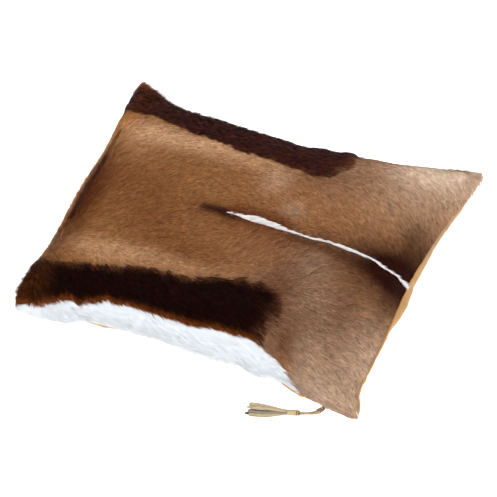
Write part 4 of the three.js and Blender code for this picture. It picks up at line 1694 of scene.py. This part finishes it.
@dataclass
class SuedeEdge:
    """The suede's turned edge, which shows as a thin golden line along a seam."""

    pelt: Pelt
    side: SeamSide
    first: float
    last: float
    radius: float = 1.6 * MM
    thinnest: float = 0.25
    begins: Fade = Fade(0.0, 0.12)
    ends: Fade = Fade(1.0, 0.92)
    waves: float = 0.2
    out: float = 0.9 * MM
    sink: float = 0.4 * MM
    clear: float = 0.05 * MM
    right_of: float = 0.24
    nearer_than: float = -0.15
    steps: int = 120
    sides: int = 10

    def build(self) -> bpy.types.Object:
        """Lays the edge along the skin's own edge.

        Returns:
            The edge.
        """
        line = self.seam()
        run = np.linspace(0, 1, self.steps)
        full = self.begins.at(run) * self.ends.at(run)
        thick = self.radius * (self.thinnest + (1 - self.thinnest) * full)
        thick *= 1 + self.waves * Mottle(61, 14).at(line[:, :2] / MM)
        way = np.gradient(line, axis=0)
        way /= np.linalg.norm(way, axis=1)[:, None]
        across = np.cross((0, 0, 1), way)
        across /= np.linalg.norm(across, axis=1)[:, None]
        up = np.cross(way, across)
        turn = np.linspace(0, 2 * np.pi, self.sides, endpoint=False)
        ring = across[:, None] * np.cos(turn)[:, None] + up[:, None] * np.sin(turn)[:, None]
        middle = line + across * self.out - np.array((0, 0, self.sink))
        middle[:, 2] = np.maximum(middle[:, 2], thick + self.clear)
        rings = middle[:, None] + ring * thick[:, None, None]
        points, faces, _ = closed_tube(rings, np.ones((self.steps, 3)))
        piece = mesh_object(f"suede_edge_{self.side.value}", points, faces)
        piece.data.materials.append(Finishes.suede())
        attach(piece, "root")
        log.info("%s: %d faces", piece.name, len(piece.data.polygons))
        return piece

    def seam(self) -> np.ndarray:
        """Follows the skin's edge along this side.

        Returns:
            Even places from the first to the last, in metres.
        """
        mesh = self.pelt.piece.data
        edges = np.zeros(len(mesh.edges) * 2, np.int32)
        mesh.edges.foreach_get("vertices", edges)
        uses = np.zeros(len(mesh.edges), int)
        loops = np.zeros(len(mesh.loops), np.int32)
        mesh.loops.foreach_get("edge_index", loops)
        np.add.at(uses, loops, 1)
        rim = vertex_places(mesh)[np.unique(edges.reshape(-1, 2)[uses == 1])]
        if self.side == SeamSide.RIGHT:
            axis, beside = 1, rim[:, 0] > self.right_of
        else:
            axis, beside = 0, rim[:, 1] < self.nearer_than
        rim = rim[beside & (rim[:, axis] < self.first) & (rim[:, axis] > self.last)]
        rim = rim[np.argsort(-rim[:, axis])]
        levels = np.linspace(rim[0, axis], rim[-1, axis], self.steps)
        return np.stack([np.interp(-levels, -rim[:, axis], rim[:, k]) for k in range(3)], 1)


@dataclass
class ZipPull:
    """The zip's slider and its pull, in antique copper."""

    nodes: tuple[str, ...] = ("zip_slider", "zip_pull")

    def dress(self) -> None:
        """Gives the metal its finish."""
        copper = Finishes.copper()
        for name in self.nodes:
            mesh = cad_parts[name].data
            mesh.materials.clear()
            mesh.materials.append(copper)


# The tassel's strips in mm: how far the tip lies from the head and to the side, how high its middle
# and its tip lie, how far it arches sideways, its width, then its twist in degrees and its tone.
TASSEL_STRIPS: tuple[tuple[float, float, float, float, float, float, float, str], ...] = (
    (61, -11.4, 1.5, 0.75, -1.2, 3.9, 5, "gold"), (60, -9.6, 3.0, 2.1, -2.2, 4.1, -10, "split"),
    (63, -6.4, 1.6, 0.75, -0.6, 3.6, 4, "gold"), (56, -3.4, 4.4, 3.2, -1.9, 3.6, -30, "split"),
    # The strips toned shade, in this row and the next, are painted deep shade for the dark gaps
    # among the strips.
    (60, -1.6, 1.5, 0.75, 0.4, 3.4, 3, "shade"), (58, 0.6, 4.2, 2.9, 1.4, 3.7, 24, "grey"),
    (62, 2.9, 1.5, 0.75, 1.1, 3.9, -5, "shade"), (57, 4.4, 3.1, 2.3, 1.6, 4.1, 14, "split"),
    (55, 5.2, 1.5, 0.75, 1.9, 4.1, -4, "gold"),
)

# The leather's colours: grain side, flesh side, a greyer strip and the thong; and a painted deep
# shade for the tassel's shadowed gaps, the head's ends and its groove.
LEATHER_TONES: dict[str, Colour] = {
    "gold": (0.38, 0.28, 0.15),
    "split": (0.34, 0.27, 0.165),
    "grey": (0.19, 0.165, 0.125),
    "thong": (0.27, 0.19, 0.095),
    "shade": (0.045, 0.035, 0.026),
}


# A strap's section, as shares of its width and its thickness: flat, with eased corners.
STRAP_OUTLINE: tuple[Span, ...] = (
    (-0.5, -0.3), (-0.4, -0.5), (0.4, -0.5), (0.5, -0.3),
    (0.5, 0.3), (0.4, 0.5), (-0.4, 0.5), (-0.5, 0.3),
)

# The thong's loop through the pull's eye, in mm from the eye: along its way, and off it.
THONG_LOOP: tuple[Span, ...] = (
    (6.5, 1.5), (3.2, 1.8), (1.3, 1.3), (0.4, 0), (1.3, -1.3), (3.2, -1.8), (6.5, -1.5),
)


@dataclass
class Tassel:
    """The leather thong and the tassel, a rolled head and nine cut strips; its sizes are in mm."""

    start: Point = (188.6, -198.6, 4.1)
    end: Point = (172.1, -202.9, 4.1)
    radius: float = 4.0
    roll_step: float = 0.5
    roll_turned: float = 2.4
    head_sides: int = 28
    groove_below: float = 0.9
    profile: Table = (
        (0.0, 0.35), (0.02, 0.78), (0.05, 0.93), (0.10, 0.98), (0.14, 0.86), (0.18, 0.86),
        (0.22, 1.0), (0.6, 1.0), (0.9, 0.98), (0.97, 0.92), (1.0, 0.8), (1.0, 0.2),
    )
    strip_thick: float = 1.1
    strip_steps: int = 16
    rooted: float = 6.0
    root_spread: float = 0.5
    fans_out: Fade = Fade(0.1, 1.0)
    sinks: Fade = Fade(0.05, 0.55)
    waver: float = 0.12
    width_waver: float = 0.04
    tip_width: float = 0.8
    ragged: float = 1.1
    # The strips are painted darker near the head, as the shade where they come out from under it.
    painted_root_shade: Fade = Fade(0.25, 0.0, 0.35)
    clear: float = 0.05
    thong_width: float = 3.2
    thong_thick: float = 1.25
    thong_steps: int = 60
    in_mouth: float = 0.35
    mouth_gap: float = 1.1
    sag: float = 1.5
    leg_gap: Point = (0.0, 0.0, 0.6)
    leg_apart: float = 0.75
    eye: Point = (219.7, -191.0, 15.6)
    before_eye: float = 6.0
    aim: Point = (-0.73, -0.33, -0.6)
    face: Point = (0.0, -1.0, 0.4)
    seed: int = 5

    def build(self) -> list[bpy.types.Object]:
        """Makes the tassel and its thong.

        Returns:
            The two pieces.
        """
        rng = np.random.default_rng(self.seed)
        start, end = np.array(self.start), np.array(self.end)
        along = (end - start) / np.linalg.norm(end - start)
        parts = [self.head(start, along, float(np.linalg.norm(end - start)))]
        parts += [self.strip(row, end, along, rng) for row in TASSEL_STRIPS]
        leather = Finishes.strap()
        pieces = []
        for name, node, shapes in (
            ("tassel_strips", "tassel", parts),
            ("tassel_thong_strap", "tassel_thong", [self.thong(start, along)]),
        ):
            piece = self.join(name, shapes)
            piece.data.materials.append(leather)
            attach(piece, "root")
            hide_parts(node)
            pieces.append(piece)
        return pieces

    def join(
        self, name: str, shapes: Sequence[tuple[np.ndarray, np.ndarray, np.ndarray]]
    ) -> bpy.types.Object:
        """Joins shapes of points, four-cornered faces and colours into one piece.

        Args:
            name: The piece's name.
            shapes: The shapes, in mm.

        Returns:
            The piece.
        """
        starts = np.cumsum([0] + [len(points) for points, _, _ in shapes])
        faces = [face + start for (_, face, _), start in zip(shapes, starts)]
        piece = mesh_object(
            name, np.concatenate([p for p, _, _ in shapes]) * MM, np.concatenate(faces)
        )
        paint(piece, np.concatenate([tones for _, _, tones in shapes]))
        return piece

    def head(
        self, start: np.ndarray, along: np.ndarray, length: float
    ) -> tuple[np.ndarray, np.ndarray, np.ndarray]:
        """The rolled head, with the step of its outer turn and a groove round its mouth; its ends
        and the groove are painted deep shade.

        Args:
            start: The thong's end of it, in mm.
            along: The way it runs.
            length: Its length in mm.

        Returns:
            Its points, faces and colours.
        """
        across = np.cross((0, 0, 1), along)
        up = np.cross(along, across)
        turn = np.linspace(0, 2 * np.pi, self.head_sides, endpoint=False)
        rolled = 1 - self.roll_step / self.radius * turn / (2 * np.pi)
        rows = np.array(self.profile)
        turn += self.roll_turned
        round_way = across * np.cos(turn)[:, None] + up * np.sin(turn)[:, None]
        reach = self.radius * rows[:, 1, None] * rolled
        rings = start + along * (rows[:, :1] * length)[:, None] + round_way * reach[..., None]
        rings[..., 2] = np.maximum(rings[..., 2], self.clear)
        # The head's ends and its groove are painted deep shade.
        groove = (rows[:, 1] < self.groove_below)[:, None]
        tones = np.where(groove, LEATHER_TONES["shade"], LEATHER_TONES["gold"])
        return closed_tube(rings, tones)

    def section(
        self, centre: np.ndarray, side: np.ndarray, up: np.ndarray, width: float, thick: float
    ) -> np.ndarray:
        """A strap's section about a point."""
        return np.array([centre + side * (a * width) + up * (b * thick) for a, b in STRAP_OUTLINE])

    def strip(
        self,
        row: tuple[float, float, float, float, float, float, float, str],
        end: np.ndarray,
        along: np.ndarray,
        rng: np.random.Generator,
    ) -> tuple[np.ndarray, np.ndarray, np.ndarray]:
        """One cut strip, from inside the head to its ragged tip near the floor.

        Args:
            row: The strip's row of the table.
            end: The strips' end of the head, in mm.
            along: The way the head runs.
            rng: The seeded random source.

        Returns:
            Its points, faces and colours.
        """
        reach, aside, mid_height, tip_height, arch, width, twist, tone = row
        sideways = np.cross((0, 0, 1), along)
        heading = along + sideways * aside / reach
        heading /= np.linalg.norm(heading)
        across = np.cross((0, 0, 1), heading)
        root_aside = aside / self.radius * self.root_spread
        rings = []
        waver = rng.normal(0, self.waver, self.strip_steps + 1)
        for k, f in enumerate(np.linspace(0, 1, self.strip_steps + 1)):
            run = f * (reach + self.rooted) - self.rooted
            spread = root_aside + (aside - root_aside) * self.fans_out.at(f)
            centre = end + along * run + sideways * (spread + arch * math.sin(math.pi * f))
            settled = mid_height + (tip_height - mid_height) * f
            centre[2] = end[2] + (settled - end[2]) * self.sinks.at(f)
            turn = math.radians(twist) * f
            side = across * math.cos(turn) + np.array((0, 0, 1)) * math.sin(turn)
            top = np.cross(heading, side)
            wide = width * (1 + self.width_waver * waver[k]) * (self.tip_width if f == 1 else 1)
            lowest = (abs(side[2]) * wide + abs(top[2]) * self.strip_thick) / 2
            centre[2] = max(centre[2] + waver[k] * f, lowest + self.clear)
            ring = self.section(centre, side, top, wide, self.strip_thick)
            if f == 1:
                ring += heading * rng.normal(0, self.ragged, len(ring))[:, None]
            rings.append(ring)
        # Painted shade near the strips' roots, under the head.
        shade = 1 - self.painted_root_shade.at(np.linspace(0, 1, len(rings)))
        return closed_tube(np.array(rings), np.array(LEATHER_TONES[tone]) * shade[:, None])

    def thong(
        self, start: np.ndarray, along: np.ndarray
    ) -> tuple[np.ndarray, np.ndarray, np.ndarray]:
        """The thong, from the head's mouth through the pull's eye and back.

        Args:
            start: The thong's end of the head, in mm.
            along: The way the head runs.

        Returns:
            Its points, faces and colours.
        """
        aim = np.array(self.aim) / np.linalg.norm(self.aim)
        across = np.cross(self.face, aim)
        across /= np.linalg.norm(across)
        out = np.cross(aim, across)
        eye = np.array(self.eye)
        mouth, level = start - along * self.in_mouth, np.array((0, 0, self.mouth_gap))
        halfway = (eye + aim * self.before_eye) * 0.5 + mouth * 0.5 - (0, 0, self.sag)
        apart = out * self.leg_apart + self.leg_gap
        loop = [eye + aim * run + out * off for run, off in THONG_LOOP]
        route = [mouth + level, halfway + apart, *loop, halfway - apart, mouth - level]
        points = smooth_route(np.array(route), self.thong_steps)
        headings = np.gradient(points, axis=0)
        headings /= np.linalg.norm(headings, axis=1)[:, None]
        rings = []
        for centre, heading in zip(points, headings):
            side = across - heading * float(across @ heading)
            side /= np.linalg.norm(side)
            top = np.cross(heading, side)
            rings.append(self.section(centre, side, top, self.thong_width, self.thong_thick))
        tones = np.tile(LEATHER_TONES["thong"], (len(rings), 1))
        return closed_tube(np.array(rings), tones)


def smooth_route(points: np.ndarray, steps: int, fine: int = 30) -> np.ndarray:
    """A smooth curve through points, evenly stepped.

    Args:
        points: The points it passes.
        steps: How many places to give.
        fine: How many places between two points it is first reckoned at.

    Returns:
        Places along the curve.
    """
    padded = np.vstack([2 * points[0] - points[1], points, 2 * points[-1] - points[-2]])
    dense = []
    for k in range(1, len(padded) - 2):
        p0, p1, p2, p3 = padded[k - 1:k + 3]
        t = np.linspace(0, 1, fine, endpoint=False)[:, None]
        dense.append(
            0.5 * (2 * p1 + (p2 - p0) * t + (2 * p0 - 5 * p1 + 4 * p2 - p3) * t**2
                   + (3 * p1 - 3 * p2 + p3 - p0) * t**3)
        )
    dense = np.vstack(dense + [points[-1:]])
    run = np.concatenate([[0], np.cumsum(np.linalg.norm(np.diff(dense, axis=0), axis=1))])
    even = np.linspace(0, run[-1], steps)
    return np.stack([np.interp(even, run, dense[:, axis]) for axis in range(3)], 1)


def main() -> None:
    """Builds the studio and the cushion's pieces in order."""
    logging.basicConfig(level=logging.INFO, format="%(message)s")
    PhotoCamera().build()
    Studio().build()
    back = SuedeBack().build()
    log.info("suede back: %d faces", len(back.data.polygons))
    pelt = Pelt()
    pelt.build()
    log.info("hide skin: %d faces", len(pelt.piece.data.polygons))
    edges = [
        SuedeEdge(pelt, SeamSide.RIGHT, 40 * MM, -184 * MM).build(),
        SuedeEdge(pelt, SeamSide.NEAR, 211 * MM, 158 * MM).build(),
    ]
    hair = Coat(pelt).build()
    pelt.finish()
    ZipPull().dress()
    for piece in Tassel().build():
        log.info("%s: %d faces", piece.name, len(piece.data.polygons))


if __name__ == "__main__":
    main()
